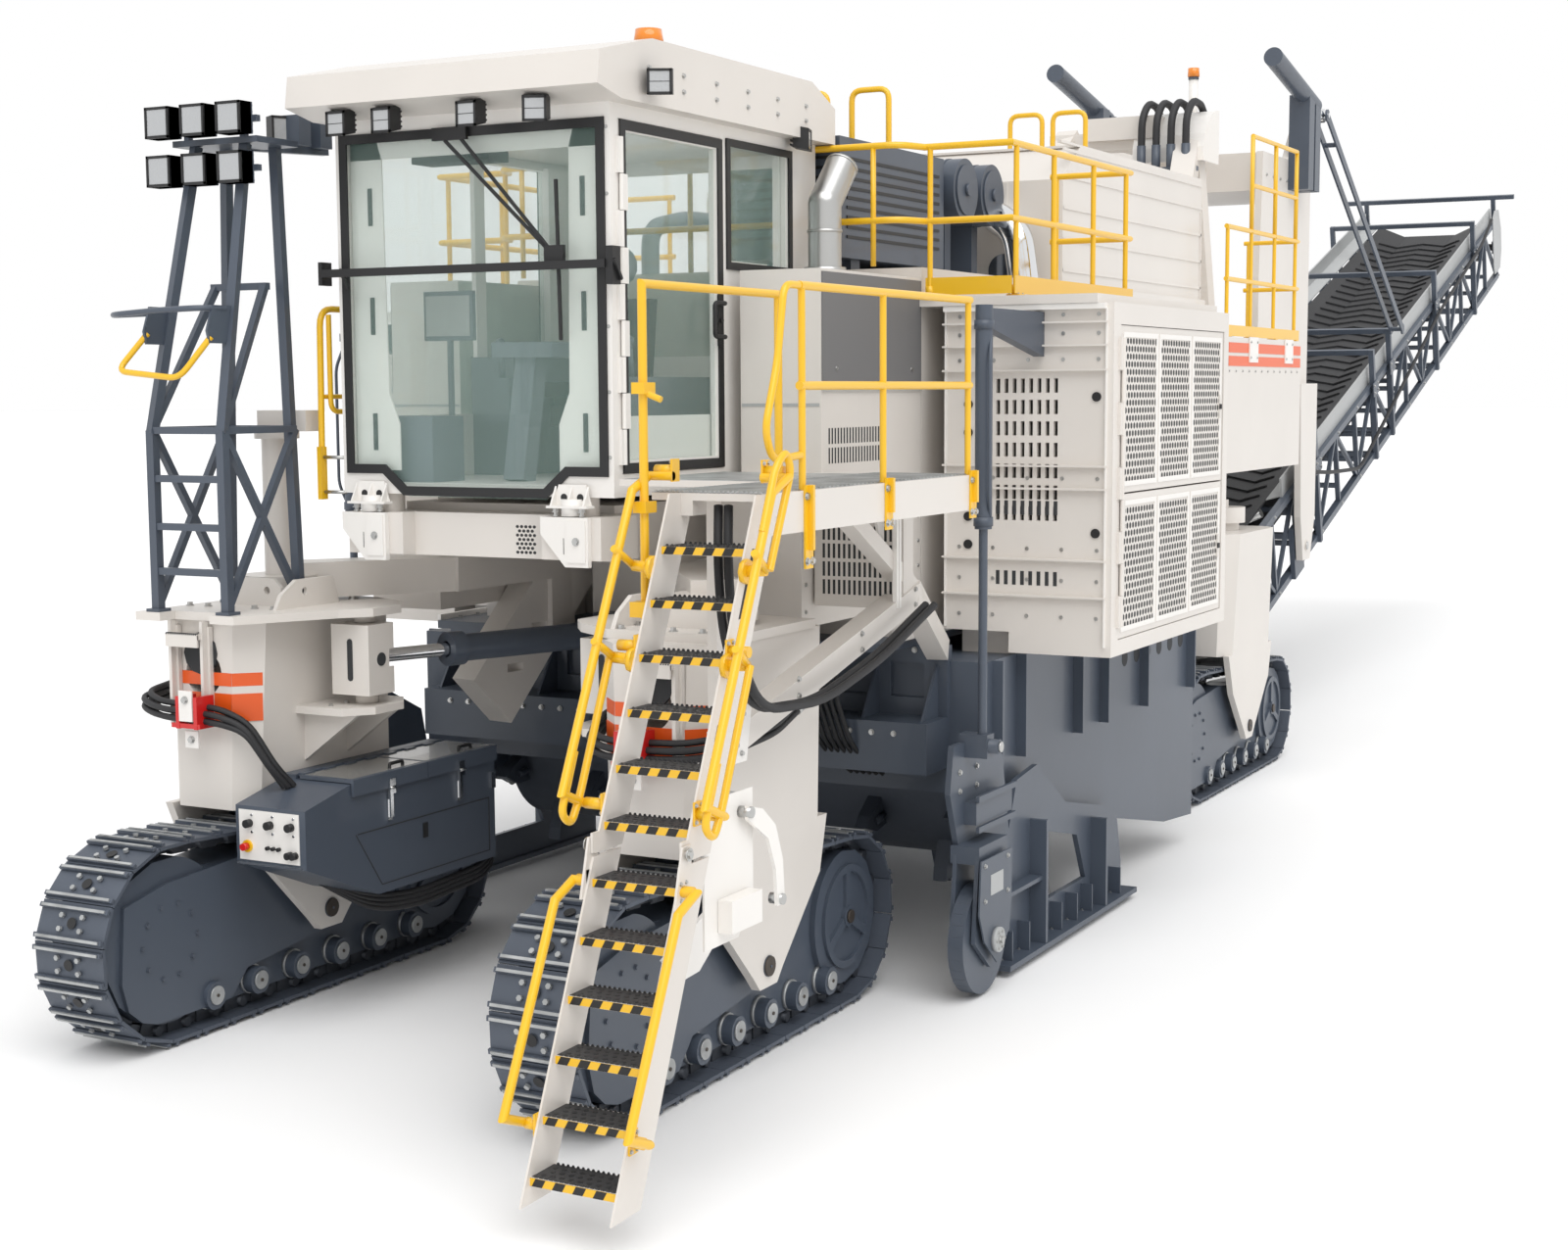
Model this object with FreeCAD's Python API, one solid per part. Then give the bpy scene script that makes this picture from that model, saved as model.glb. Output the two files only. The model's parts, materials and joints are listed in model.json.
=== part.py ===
"""Large surface miner on four steered tracks, cab end forward.

Frame: +X forward (cab end), +Y to the machine's left, +Z up, ground at Z = 0.
Lengthwise places are written as stations: X in millimetres from the foot of the
boarding ladder, negative rearwards. export() moves the whole machine so that the
middle of its box stands over the origin.
"""
import FreeCAD
import Part
import os
from math import atan, atan2, cos, degrees, hypot, pi, radians, sin

V = FreeCAD.Vector

# ---------------------------------------------------------------- driving sizes
ORIGIN_STATION = -16429        # station of the middle of the whole machine

TRACK_GAUGE = 3400             # between track centre lines
SHOE_WIDTH = 560
SHOE_COUNT = 36
TRACK_FRONT_RADIUS = 640       # drive end, to the back of the shoes
TRACK_REAR_RADIUS = 560        # idler end
TRACK_AXLES = 2800             # between the drive and idler axles
SHOE_PLATE = 22
GROUSER = 28
CHAIN_DEPTH = 110
FRAME_WIDTH = 300
ROLLER_COUNT = 6
PIN_REACH = 360                # half length of the rocking pin
FRONT_PIN_X = -3050            # rocking pin of the front tracks
REAR_PIN_X = -13700
PIN_Z = 600
COLUMN_TOP = 2640
TRACK_CLEAR_Z = 1400           # underside of the casing above the shoes
KING_PIN_LOW = 2080
KING_PIN_R = 200
HEAD_LOW = 2720                # fixed head above the steered column
RAM_Z = 2345
RAM_ARM = 710                  # king pin to the eye of the steering ram
EYE_BORE_R = 84
RAM_FOOT_X = -4900
RAM_FOOT_Y = 330

WHEEL_X = -5000                # gauge wheel of the edge protector
WHEEL_Y = 2620
WHEEL_Z = 400
WHEEL_R = 380
RAM_Y = 2650

BOX_FRONT = -6000
BOX_REAR = -8770
BOX_IN = 1930
BOX_OUT = 3200
BOX_LOW = 2230
BOX_TOP = 4700
BOX_SPLIT = 3370
HINGE_OUT = 3218               # hinge line of the side doors

HALL_FRONT = -6000             # engine hall
HALL_REAR = -12900
HALL_TOP = 4980

CAB_FRONT = -2950
CAB_REAR = -5700
CAB_HALF = 1050
CAB_LOW = 3450
CAB_TOP = 5850
DOOR_REAR = -4330
DOOR_LOW = 3600                # clears the landing as it swings

DRUM_X = -6900
DRUM_Z = 1180
DRUM_CORE_R = 640
DRUM_TOOL_R = 930
CUT_WIDTH = 4200
HUB_Y = 2000                   # inner end of the fixed gearbox in the drum
HUB_R = 330

SIDE_Y = 2420                  # outer face of the drum housing
DECK_Z = 2360                  # bolted flange between frame and body
TOW_EYE_R = 42
FLOOR_Z = 3570                 # boarding platform
TOOLBOX_TOP = 1610

LADDER_Y = 2380                # inner face of the right-hand stringer
TREAD_WIDTH = 503
TREAD_RISE = 270
TREAD_RUN = 118
TREAD_COUNT = 12
LOWER_TREADS = 6
RAIL_R = 24
PIVOT_X = -615                 # pivot of the folding lower ladder
PIVOT_Z = 1850
BRACE_Y = 2350

SLEW_X = -17600                # slewing axis of the discharge conveyor
BOOM_X = -18800                # luffing hinge
BOOM_Z = 2130
BOOM_RISE = 17.2               # degrees
TRUSS_HALF = 1130
TRUSS_TOP = 1000
PORTAL_TOP = 1558
BOOM_TAIL = -1950
BOOM_HEAD = 14600
PORTALS = (1180, 4530, 5620, 8920, 12190)
LEG_Y = 1240                   # inner face of the slewing frame's legs
RAM_TAIL = (-16800, 1330, 7900)
LINK_EYE = (-19050, 1330, 7470)
STAY_PORT = (-23708, 1330, 4945)   # top of the third portal

PARTS = {}


# ---------------------------------------------------------------- small helpers
def box(x0, x1, y0, y1, z0, z1):
    low = V(min(x0, x1), min(y0, y1), min(z0, z1))
    return Part.makeBox(abs(x1 - x0), abs(y1 - y0), abs(z1 - z0), low)


def fuse(shapes):
    shapes = list(shapes)
    if len(shapes) == 1:
        return shapes[0]
    return shapes[0].multiFuse(shapes[1:]).removeSplitter()


def slab(points, axis, start, end):
    """Polygon drawn in the plane across an axis, given thickness along it.

    'y': points are (x, z); 'x': points are (y, z); 'z': points are (x, y).
    """
    lift = {"x": lambda a, b: V(start, a, b), "y": lambda a, b: V(a, start, b),
            "z": lambda a, b: V(a, b, start)}[axis]
    along = {"x": V(1, 0, 0), "y": V(0, 1, 0), "z": V(0, 0, 1)}[axis]
    corners = [lift(a, b) for a, b in points]
    wire = Part.makePolygon(corners + corners[:1])
    return Part.Face(wire).extrude(along * (end - start))


def rod(start, end, radius):
    start, end = V(*start), V(*end)
    return Part.makeCylinder(radius, (end - start).Length, start, end - start)


def pipe(start, end, radius, bore):
    start, end = V(*start), V(*end)
    length = (end - start).Length
    outer = Part.makeCylinder(radius, length, start, end - start)
    return outer.cut(Part.makeCylinder(bore, length, start, end - start))


def bar(start, end, width, height):
    """Square bar from point to point, its height kept as upright as it can be."""
    start, end = V(*start), V(*end)
    run = end - start
    body = Part.makeBox(run.Length, width, height, V(0, -width / 2, -height / 2))
    yaw = degrees(atan2(run.y, run.x))
    pitch = degrees(atan2(run.z, hypot(run.x, run.y)))
    body.rotate(V(0, 0, 0), V(0, 1, 0), -pitch)
    body.rotate(V(0, 0, 0), V(0, 0, 1), yaw)
    body.translate(start)
    return body


def rail(points, radius=RAIL_R):
    """Hand rail through its corners, mitred at each bend."""
    path = Part.makePolygon([V(*p) for p in points])
    start = V(*points[0])
    along = V(*points[1]) - start
    section = Part.Wire(Part.makeCircle(radius, start, along))
    return path.makePipeShell([section], True, False, 1)


def stanchion(x, y, low, high):
    """Upright under a hand rail, a little thinner so that it enters it cleanly."""
    return rod((x, y, low), (x, y, high), RAIL_R - 4)


def mirrored(shape):
    return shape.mirror(V(0, 0, 0), V(0, 1, 0))


def both_sides(shape):
    return [shape, mirrored(shape)]


def add(name, shape):
    PARTS[name] = shape


def group(shapes):
    return Part.makeCompound(list(shapes))


def seat(name, *onto):
    """Trim a piece where it would sink into the pieces that carry it."""
    for other in onto:
        PARTS[name] = PARTS[name].cut(PARTS[other])


def knuckles(start, end, radius, count=5):
    """Hinge line as short rods in turn: the fixed ones, then the moving ones."""
    start, end = V(*start), V(*end)
    step = (end - start) * (1.0 / count)
    gap = V(step).normalize() * 2
    rods = [Part.makeCylinder(radius, step.Length - 4, start + step * k + gap, step)
            for k in range(count)]
    return rods[0::2], rods[1::2]


# ---------------------------------------------------------------- tracks
def round_the_wheels(front_r, rear_r, axles):
    """Way once round two wheels that stand on the ground, the front axle at x = 0.

    Returns a function from distance to (x, z, normal x, normal z), and the length.
    """
    slope = 2 * atan((front_r - rear_r) / axles)
    front_arc = front_r * (pi + slope)
    rear_arc = rear_r * (pi - slope)
    total = 2 * axles + front_arc + rear_arc
    top_normal = pi / 2 + slope

    def at(distance):
        d = distance % total
        if d < axles:
            return -axles + d, 0, 0, -1
        d -= axles
        if d < front_arc:
            a = -pi / 2 + d / front_r
            return front_r * cos(a), front_r * (1 + sin(a)), cos(a), sin(a)
        d -= front_arc
        nx, nz = cos(top_normal), sin(top_normal)
        if d < axles:
            return front_r * nx - d * nz, front_r * (1 + nz) + d * nx, nx, nz
        a = top_normal + (d - axles) / rear_r
        return -axles + rear_r * cos(a), rear_r * (1 + sin(a)), cos(a), sin(a)

    return at, total


def track_loop():
    """Track chain as one loop: double-grouser shoes outside, chain links inside."""
    at, total = round_the_wheels(TRACK_FRONT_RADIUS, TRACK_REAR_RADIUS, TRACK_AXLES)
    pitch = total / SHOE_COUNT
    profile = [(0.00, -SHOE_PLATE), (0.06, 0), (0.12, GROUSER), (0.20, GROUSER),
               (0.27, 0), (0.73, 0), (0.80, GROUSER), (0.88, GROUSER), (0.94, 0)]
    outer = []
    for shoe in range(SHOE_COUNT):
        for share, height in profile:
            x, z, nx, nz = at((shoe + share) * pitch)
            outer.append((x + nx * height, z + nz * height))
    inner = []
    for step in range(SHOE_COUNT):
        x, z, nx, nz = at(step * pitch)
        inner.append((x - nx * CHAIN_DEPTH, z - nz * CHAIN_DEPTH))
    half = SHOE_WIDTH / 2
    loop = slab(outer, "y", -half, half).cut(slab(inner, "y", -half - 1, half + 1))
    loop.translate(V(TRACK_AXLES / 2, 0, GROUSER))
    return loop


def track_frame():
    """Drive wheel, idler and beam inside the loop, with the rocking pin through it."""
    front_x, rear_x = TRACK_AXLES / 2, -TRACK_AXLES / 2
    clear = CHAIN_DEPTH - 4
    front_z = TRACK_FRONT_RADIUS + GROUSER
    rear_z = TRACK_REAR_RADIUS + GROUSER
    front_r = TRACK_FRONT_RADIUS - clear
    rear_r = TRACK_REAR_RADIUS - clear
    low = GROUSER + clear
    beam = [(rear_x, low), (front_x, low), (front_x, front_z + front_r - 90),
            (front_x - 700, front_z + front_r - 150), (250, 1010), (-250, 1010),
            (rear_x + 300, rear_z + rear_r - 80), (rear_x, rear_z + rear_r - 90)]
    wheel_half = FRAME_WIDTH / 2 + 40
    cover = [(front_x + 330, low + 30), (front_x + 420, 480), (front_x + 380, 960),
             (front_x + 20, 1040), (front_x - 760, 1090), (-120, 1010), (-200, 430),
             (front_x - 700, 330), (front_x - 540, low + 30)]
    hub = [rod((rear_x, -wheel_half - 34, rear_z), (rear_x, wheel_half + 34, rear_z), 70)]
    for turn in range(3):
        spoke = box(-32, 32, -wheel_half - 24, wheel_half + 24, 40, 330)
        spoke.rotate(V(0, 0, 0), V(0, 1, 0), turn * 120)
        spoke.translate(V(rear_x, 0, rear_z))
        hub.append(spoke)
    rim = pipe((rear_x, -wheel_half - 24, rear_z), (rear_x, wheel_half + 24, rear_z), 350, 300)
    pieces = hub + [rim, slab(cover, "y", -wheel_half - 30, wheel_half + 30),
              slab(beam, "y", -FRAME_WIDTH / 2, FRAME_WIDTH / 2),
              rod((front_x, -wheel_half, front_z), (front_x, wheel_half, front_z), front_r),
              rod((rear_x, -wheel_half, rear_z), (rear_x, wheel_half, rear_z), rear_r)]
    for step in range(ROLLER_COUNT):
        x = rear_x + 330 + step * (TRACK_AXLES - 700) / (ROLLER_COUNT - 1)
        reach = SHOE_WIDTH / 2 - 30
        pieces.append(rod((x, -reach, low + 92), (x, reach, low + 92), 92))
    pieces.append(rod((0, -PIN_REACH, PIN_Z), (0, PIN_REACH, PIN_Z), 66))
    return fuse(pieces).cut(track_loop())


def octagon(half_x, half_y, chamfer, z):
    corners = [(half_x, half_y - chamfer), (half_x - chamfer, half_y),
               (-half_x + chamfer, half_y), (-half_x, half_y - chamfer),
               (-half_x, -half_y + chamfer), (-half_x + chamfer, -half_y),
               (half_x - chamfer, -half_y), (half_x, -half_y + chamfer)]
    points = [V(x, y, z) for x, y in corners]
    return Part.makePolygon(points + points[:1])


def column_casing():
    """Tapered casing round the king pin, its two legs straddling the track."""
    inner = SHOE_WIDTH / 2 + 14
    casing = Part.makeLoft([octagon(770, 400, 150, COLUMN_TOP),
                            octagon(800, inner + 60, 130, TRACK_CLEAR_Z)], True, True)
    leg = [(-800, TRACK_CLEAR_Z + 10), (-700, 1050), (-190, PIN_Z - 40), (-110, PIN_Z - 130),
           (110, PIN_Z - 130), (190, PIN_Z - 40), (620, 1000), (800, TRACK_CLEAR_Z + 10)]
    legs = []
    for y in (inner, -inner - 60):
        legs.append(slab(leg, "y", y, y + 60))
    body = fuse([casing] + legs)
    body = body.cut(rod((0, 0, KING_PIN_LOW - 20), (0, 0, COLUMN_TOP + 99), KING_PIN_R + 6))
    body = body.cut(rod((500, 0, 2290), (900, 0, 2290), 150))
    return body.cut(rod((0, -900, PIN_Z), (0, 900, PIN_Z), 66))


def steering_plates(with_mast):
    """Upper and lower plate of the column; inboard they hold the ram's block."""
    upper = [(-500, 430), (-560, 0), (-500, -430), (560, -430), (560, 430),
             (330, 760), (150, 900), (-150, 900), (-330, 760)]
    if with_mast:
        upper[3:5] = [(960, -400), (960, -190), (820, -190), (820, 230), (960, 230), (960, 430)]
    lower = [(-330, 300), (330, 300), (330, 760), (150, 900), (-150, 900), (-330, 760)]
    ring = rod((0, 0, COLUMN_TOP - 30), (0, 0, COLUMN_TOP + 90), KING_PIN_R + 6)
    plates = [slab(upper, "z", COLUMN_TOP, COLUMN_TOP + 55).cut(ring),
              slab(lower, "z", 1990, 2040)]
    plates += [slab([(300, 1990), (820, 1990), (340, 1640)], "x", x, x + 40) for x in (-240, 200)]
    crest = COLUMN_TOP + 240
    front_face = slab([(-215, COLUMN_TOP + 50), (280, COLUMN_TOP + 50), (280, crest - 60),
                       (220, crest), (-155, crest), (-215, crest - 60)], "x", 300, 330)
    front_face = front_face.cut(rod((290, 160, crest - 80), (340, 160, crest - 80), 26))
    inner_face = slab([(-100, COLUMN_TOP + 50), (540, COLUMN_TOP + 50), (480, crest - 90),
                       (330, crest), (-40, crest)], "y", 385, 415)
    inner_face = inner_face.cut(rod((250, 380, crest - 80), (250, 420, crest - 80), 26))
    plates += [front_face, inner_face]
    block = box(-95, 170, 560, 870, 2110, 2580).cut(box(-900, 132, 575, 855, 2270, 2420))
    block = block.cut(box(-900, -45, 840, 880, 2285, 2405))
    return plates, fuse([block, rod((0, RAM_ARM, 2030), (0, RAM_ARM, COLUMN_TOP + 10), 50)])


def make_tracks():
    loop = track_loop()
    frame = track_frame()
    for end, pin_x in (("front", FRONT_PIN_X), ("rear", REAR_PIN_X)):
        for side, sign in (("left", 1), ("right", -1)):
            column = column_casing()
            if end == "front":
                plates, block = steering_plates(side == "right")
                column = fuse([column, block] + plates)
            if sign > 0:
                column = mirrored(column)
            place = V(pin_x, sign * TRACK_GAUGE / 2, 0)
            for name, shape in (("track_loop_", loop), ("track_frame_", frame),
                                ("column_", column)):
                moved = shape.copy()
                moved.translate(place)
                add(name + end + "_" + side, moved)


def make_rams():
    """Steering rams of the front columns, barrel on the frame and eye in the block."""
    for side, sign in (("left", 1), ("right", -1)):
        eye = V(FRONT_PIN_X, sign * (TRACK_GAUGE / 2 - RAM_ARM), RAM_Z)
        foot = V(RAM_FOOT_X, sign * RAM_FOOT_Y, RAM_Z)
        way = foot - eye
        way.normalize()
        gland = eye + way * 640
        barrel = pipe(gland, foot - way * 100, 95, 56)
        collar = pipe(gland, gland + way * 120, 118, 56)
        foot_eye = Part.makeCylinder(110, 120, foot - V(0, 0, 60))
        foot_eye = foot_eye.cut(Part.makeCylinder(46, 130, foot - V(0, 0, 65)))
        add("steer_barrel_" + side, fuse([barrel, collar, foot_eye]))
        ring = Part.makeCylinder(112, 110, eye - V(0, 0, 55))
        shaft = rod(eye + way * 100, eye + way * 1300, 46)
        whole = fuse([ring, shaft]).cut(Part.makeCylinder(EYE_BORE_R, 130, eye - V(0, 0, 65)))
        add("steer_rod_" + side, whole)


# ---------------------------------------------------------------- main frame
def make_chassis():
    """Frame rails, cross beam with its windows, drum housing and conveyor hangers."""
    top = DECK_Z - 160
    side = [(-5600, 1100), (-5600, top), (-10500, top), (-10500, 260), (-9700, 330), (-6900, 900)]
    hood_r = DRUM_TOOL_R + 60
    hood = box(-8300, -5600, -SIDE_Y + 50, SIDE_Y - 50, 1250, top)
    hood = hood.cut(rod((DRUM_X, -SIDE_Y, DRUM_Z), (DRUM_X, SIDE_Y, DRUM_Z), hood_r))
    hood = hood.cut(box(-8250, -5650, -SIDE_Y, SIDE_Y, 1200, 1500))
    spine = box(-15350, -5060, -860, 860, DECK_Z - 160, DECK_Z - 60)
    spine = spine.cut(box(-15360, -11400, -680, 680, DECK_Z - 170, DECK_Z - 50))
    pieces = [hood, spine, box(-12300, -5060, -1900, 1900, DECK_Z - 60, DECK_Z)]
    pieces += both_sides(slab(side, "y", SIDE_Y - 50, SIDE_Y))
    pieces += both_sides(box(-15350, -8200, 760, 860, 1550, DECK_Z - 100))
    pieces += both_sides(box(-10500, -10420, 760, SIDE_Y - 40, 1500, top))
    pieces += both_sides(rod((DRUM_X, HUB_Y, DRUM_Z), (DRUM_X, SIDE_Y - 45, DRUM_Z), HUB_R))
    for face_x, out, y, z in ((-15350, -1, 810, 1700), (-5200, 1, 500, 1620)):
        for sign in (1, -1):
            lug = slab([(face_x - out * 20, z - 130), (face_x + out * 120, z - 110),
                        (face_x + out * 200, z), (face_x + out * 120, z + 110),
                        (face_x - out * 20, z + 130)], "y", sign * y - 30, sign * y + 30)
            eye_x = face_x + out * 105
            pieces.append(lug.cut(rod((eye_x, sign * y - 40, z), (eye_x, sign * y + 40, z), TOW_EYE_R)))
    web = box(-5640, -5560, -2150, 2150, 1780, DECK_Z - 50)
    for k in range(-4, 5):
        web = web.cut(box(-5700, -5500, k * 460 - 130, k * 460 + 130, 1930, 2180))
    pieces += [web, box(-5640, -5200, -2150, 2150, 1440, 1800)]
    for x, low in ((-9500, 1000), (-12500, 1780), (-15000, 2100)):
        pieces.append(box(x - 50, x + 50, -800, 800, low, low + 160))
    pieces += both_sides(box(-9550, -9450, 700, 800, 1000, 1600))
    for sign in (1, -1):
        y = sign * RAM_FOOT_Y
        pieces += [box(-5200, -5060, y - 150, y + 150, DECK_Z - 80, DECK_Z + 120),
                   box(-5200, -5060, y - 150, y + 150, DECK_Z - 180, DECK_Z - 80),
                   box(-5100, RAM_FOOT_X + 60, y - 130, y + 130, RAM_Z + 75, RAM_Z + 115),
                   box(-5100, RAM_FOOT_X + 60, y - 130, y + 130, RAM_Z - 115, RAM_Z - 75),
                   rod((RAM_FOOT_X, y, RAM_Z - 115), (RAM_FOOT_X, y, RAM_Z + 115), 44)]
    frame = fuse(pieces)
    for sign in (1, -1):
        foot_room = rod((RAM_FOOT_X, sign * RAM_FOOT_Y, RAM_Z - 70),
                        (RAM_FOOT_X, sign * RAM_FOOT_Y, RAM_Z + 70), 150)
        pin = rod((RAM_FOOT_X, sign * RAM_FOOT_Y, RAM_Z - 70),
                  (RAM_FOOT_X, sign * RAM_FOOT_Y, RAM_Z + 70), 44)
        frame = frame.cut(foot_room.cut(pin))
    add("chassis_frame", frame)


def make_column_heads():
    """Fixed king pins with their heads, linked to the frame by arms."""
    heads = []
    for pin_x, back in ((FRONT_PIN_X, -1), (REAR_PIN_X, 1)):
        for sign in (1, -1):
            y = sign * TRACK_GAUGE / 2
            bend = (pin_x + back * 950, sign * 980, HEAD_LOW + 120)
            end_x = -5060 if back < 0 else -12000
            pieces = [rod((pin_x, y, KING_PIN_LOW), (pin_x, y, HEAD_LOW + 20), KING_PIN_R),
                      rod((pin_x, y, HEAD_LOW), (pin_x, y, HEAD_LOW + 160), 260),
                      bar((pin_x, y, HEAD_LOW + 120), bend, 300, 240),
                      box(pin_x + back * 850, end_x, sign * 840, sign * 1120,
                          HEAD_LOW, HEAD_LOW + 240),
                      box(end_x, end_x + back * 300, sign * 840, sign * 1120,
                          DECK_Z, HEAD_LOW + 240)]
            if back < 0:
                girder = bar((-4480, sign * 1080, 1860), (-5500, sign * 925, 2950), 220, 520)
                slots = [bar((-4700 - k * 260, sign * 1600, 2090 + k * 280),
                             (-4700 - k * 260, sign * 600, 2090 + k * 280), 160, 60)
                         for k in range(3)]
                pieces.append(girder.cut(fuse(slots)))
            if back < 0 and sign < 0:
                pieces += [rod((pin_x, y, HEAD_LOW + 150), (pin_x, y, 3800), 105),
                           rod((pin_x, y, 3800), (pin_x, y, 3860), 150),
                           box(pin_x - 90, pin_x + 90, y - 90, y + 330, 3850, 3990)]
            heads.append(fuse(pieces))
    add("column_heads", group(heads))


def make_drum():
    """Milling drum: core, end rings and tool holders in two meeting spirals."""
    half = CUT_WIDTH / 2
    core = rod((DRUM_X, -half, DRUM_Z), (DRUM_X, half, DRUM_Z), DRUM_CORE_R)
    tools = []
    rows = 17
    for row in range(rows):
        y = -half + 110 + row * (CUT_WIDTH - 220) / (rows - 1)
        for turn in range(3):
            angle = radians(turn * 120 + abs(row - rows // 2) * 43)
            tool = slab([(560, -120), (DRUM_TOOL_R - 130, -60), (DRUM_TOOL_R, 60),
                         (DRUM_TOOL_R - 90, 100), (560, 150)], "y", -55, 55)
            tool.rotate(V(0, 0, 0), V(0, 1, 0), -degrees(angle))
            tool.translate(V(DRUM_X, y, DRUM_Z))
            tools.append(tool)
    drum = fuse([core] + tools)
    for sign in (1, -1):
        drum = drum.cut(rod((DRUM_X, sign * (HUB_Y - 10), DRUM_Z), (DRUM_X, sign * (half + 9), DRUM_Z),
                            HUB_R + 6))
    add("milling_drum", drum)


# ---------------------------------------------------------------- edge protectors
def make_side_plates():
    """Skids beside the drum, each with a gauge wheel, and their lift rams."""
    y0 = SIDE_Y + 25
    outline = [(-5450, 50), (-8190, 50), (-8190, 300), (-8060, 760), (-6900, 1000), (-6300, 1380),
               (-5900, 1330), (-5750, 1000), (-5620, 1560), (-5250, 1740), (-4760, 1740),
               (-4700, 1420), (-4900, 900), (-5200, 420)]
    plate = slab(outline, "y", y0 + 60, y0 + 100)
    plate = plate.cut(slab([(-6350, 330), (-7350, 330), (-7150, 700), (-6450, 860)],
                           "y", y0, y0 + 300))
    shoe = box(-5450, -8190, y0 + 10, y0 + 240, 50, 90)
    ribs = [box(-6200, -6160, y0 + 60, y0 + 230, 80, 1000),
            box(-7500, -7460, y0 + 60, y0 + 230, 80, 780),
            box(-5500, -6200, y0 + 60, y0 + 200, 560, 590)]
    guide = box(-4940, -5580, y0 + 60, y0 + 190, 1180, 1330)
    fork = [slab([(-4800, 1000), (-5300, 1000), (-5330, 420), (-5000, 200), (-4730, 420)],
                 "y", y, y + 30) for y in (WHEEL_Y - 95, WHEEL_Y + 65)]
    axle = rod((WHEEL_X, WHEEL_Y - 100, WHEEL_Z), (WHEEL_X, WHEEL_Y + 100, WHEEL_Z), 45)
    bridge = box(-4800, -5300, y0 + 60, WHEEL_Y + 95, 940, 1060)
    lug = box(WHEEL_X - 60, WHEEL_X + 60, y0 + 60, RAM_Y + 60, 1640, 1800)
    lift_rod = rod((WHEEL_X, RAM_Y, 1760), (WHEEL_X, RAM_Y, 3330), 30)
    body = fuse([plate, shoe, guide, bridge, axle, lug, lift_rod] + ribs + fork)
    wheel = rod((WHEEL_X, WHEEL_Y - 55, WHEEL_Z), (WHEEL_X, WHEEL_Y + 55, WHEEL_Z), WHEEL_R)
    wheel = wheel.cut(rod((WHEEL_X, WHEEL_Y - 99, WHEEL_Z), (WHEEL_X, WHEEL_Y + 99, WHEEL_Z), 46))
    tube = pipe((WHEEL_X, RAM_Y, 3180), (WHEEL_X, RAM_Y, 4640), 58, 40)
    cap = rod((WHEEL_X, RAM_Y, 4600), (WHEEL_X, RAM_Y, 4660), 58)
    arm = slab([(WHEEL_X + 40, 4640), (WHEEL_X + 40, 4520), (-6010, 4330), (-6010, 4640)],
               "y", RAM_Y - 40, RAM_Y + 40)
    ram = fuse([tube, cap, arm])
    for side, flip in (("left", lambda s: s), ("right", mirrored)):
        add("side_plate_" + side, flip(body))
        add("gauge_wheel_" + side, flip(wheel))
    add("plate_lift_barrels", group(both_sides(ram)))


# ---------------------------------------------------------------- body
def slot_grid(face_x, y0, z0, columns, rows, step_y, step_z, width, height):
    cuts = []
    for c in range(columns):
        for r in range(rows):
            y, z = y0 + c * step_y, z0 - r * step_z
            cuts.append(box(face_x - 80, face_x + 80, y, y + width, z, z + height))
    return cuts


def service_box():
    """Hollow side housing with its walkway: ribbed front wall with rows of slots."""
    step_z = DECK_Z + 20
    whole = box(BOX_REAR, BOX_FRONT, BOX_IN, BOX_OUT, BOX_LOW, BOX_TOP)
    whole = whole.cut(box(BOX_REAR - 9, BOX_FRONT + 9, 0, SIDE_Y + 15, 0, step_z))
    inside = fuse([box(BOX_REAR + 40, BOX_FRONT - 40, BOX_IN + 40, BOX_OUT - 60, step_z + 40, BOX_TOP - 40),
                   box(BOX_REAR + 40, BOX_FRONT - 40, SIDE_Y + 55, BOX_OUT - 60, BOX_LOW + 40, step_z + 50)])
    doorway = box(BOX_REAR + 120, BOX_FRONT - 150, BOX_OUT - 70, BOX_OUT + 10,
                  BOX_LOW + 110, BOX_TOP - 150)
    shell = whole.cut(inside).cut(doorway)
    slots = slot_grid(BOX_FRONT, 2330, 4080, 8, 7, 62, 150, 30, 100)
    shell = shell.cut(Part.makeCompound(slots))
    ribs = [box(BOX_FRONT - 10, BOX_FRONT + 45, BOX_IN, BOX_OUT - 40, z, z + 14)
            for z in (4560, 4400, 4230, 3560, 3400, 2900, 2640)]
    feet = [box(x, x + 220, 2000, 2360, DECK_Z - 160, step_z + 10)
            for x in (BOX_REAR + 500, -7500, BOX_FRONT - 400)]
    walkway = box(BOX_REAR, BOX_FRONT + 60, 1752, BOX_OUT - 100, BOX_TOP - 4, BOX_TOP + 60)
    fixed = knuckles((BOX_FRONT - 160, HINGE_OUT, BOX_LOW + 200),
                     (BOX_FRONT - 160, HINGE_OUT, BOX_TOP - 240), 14, 9)[0]
    ties = [box(BOX_FRONT - 160, BOX_FRONT - 100, BOX_OUT - 4, HINGE_OUT + 4,
                k.BoundBox.ZMin, k.BoundBox.ZMax) for k in fixed]
    return fuse([shell, walkway] + ribs + feet + fixed + ties)


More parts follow.
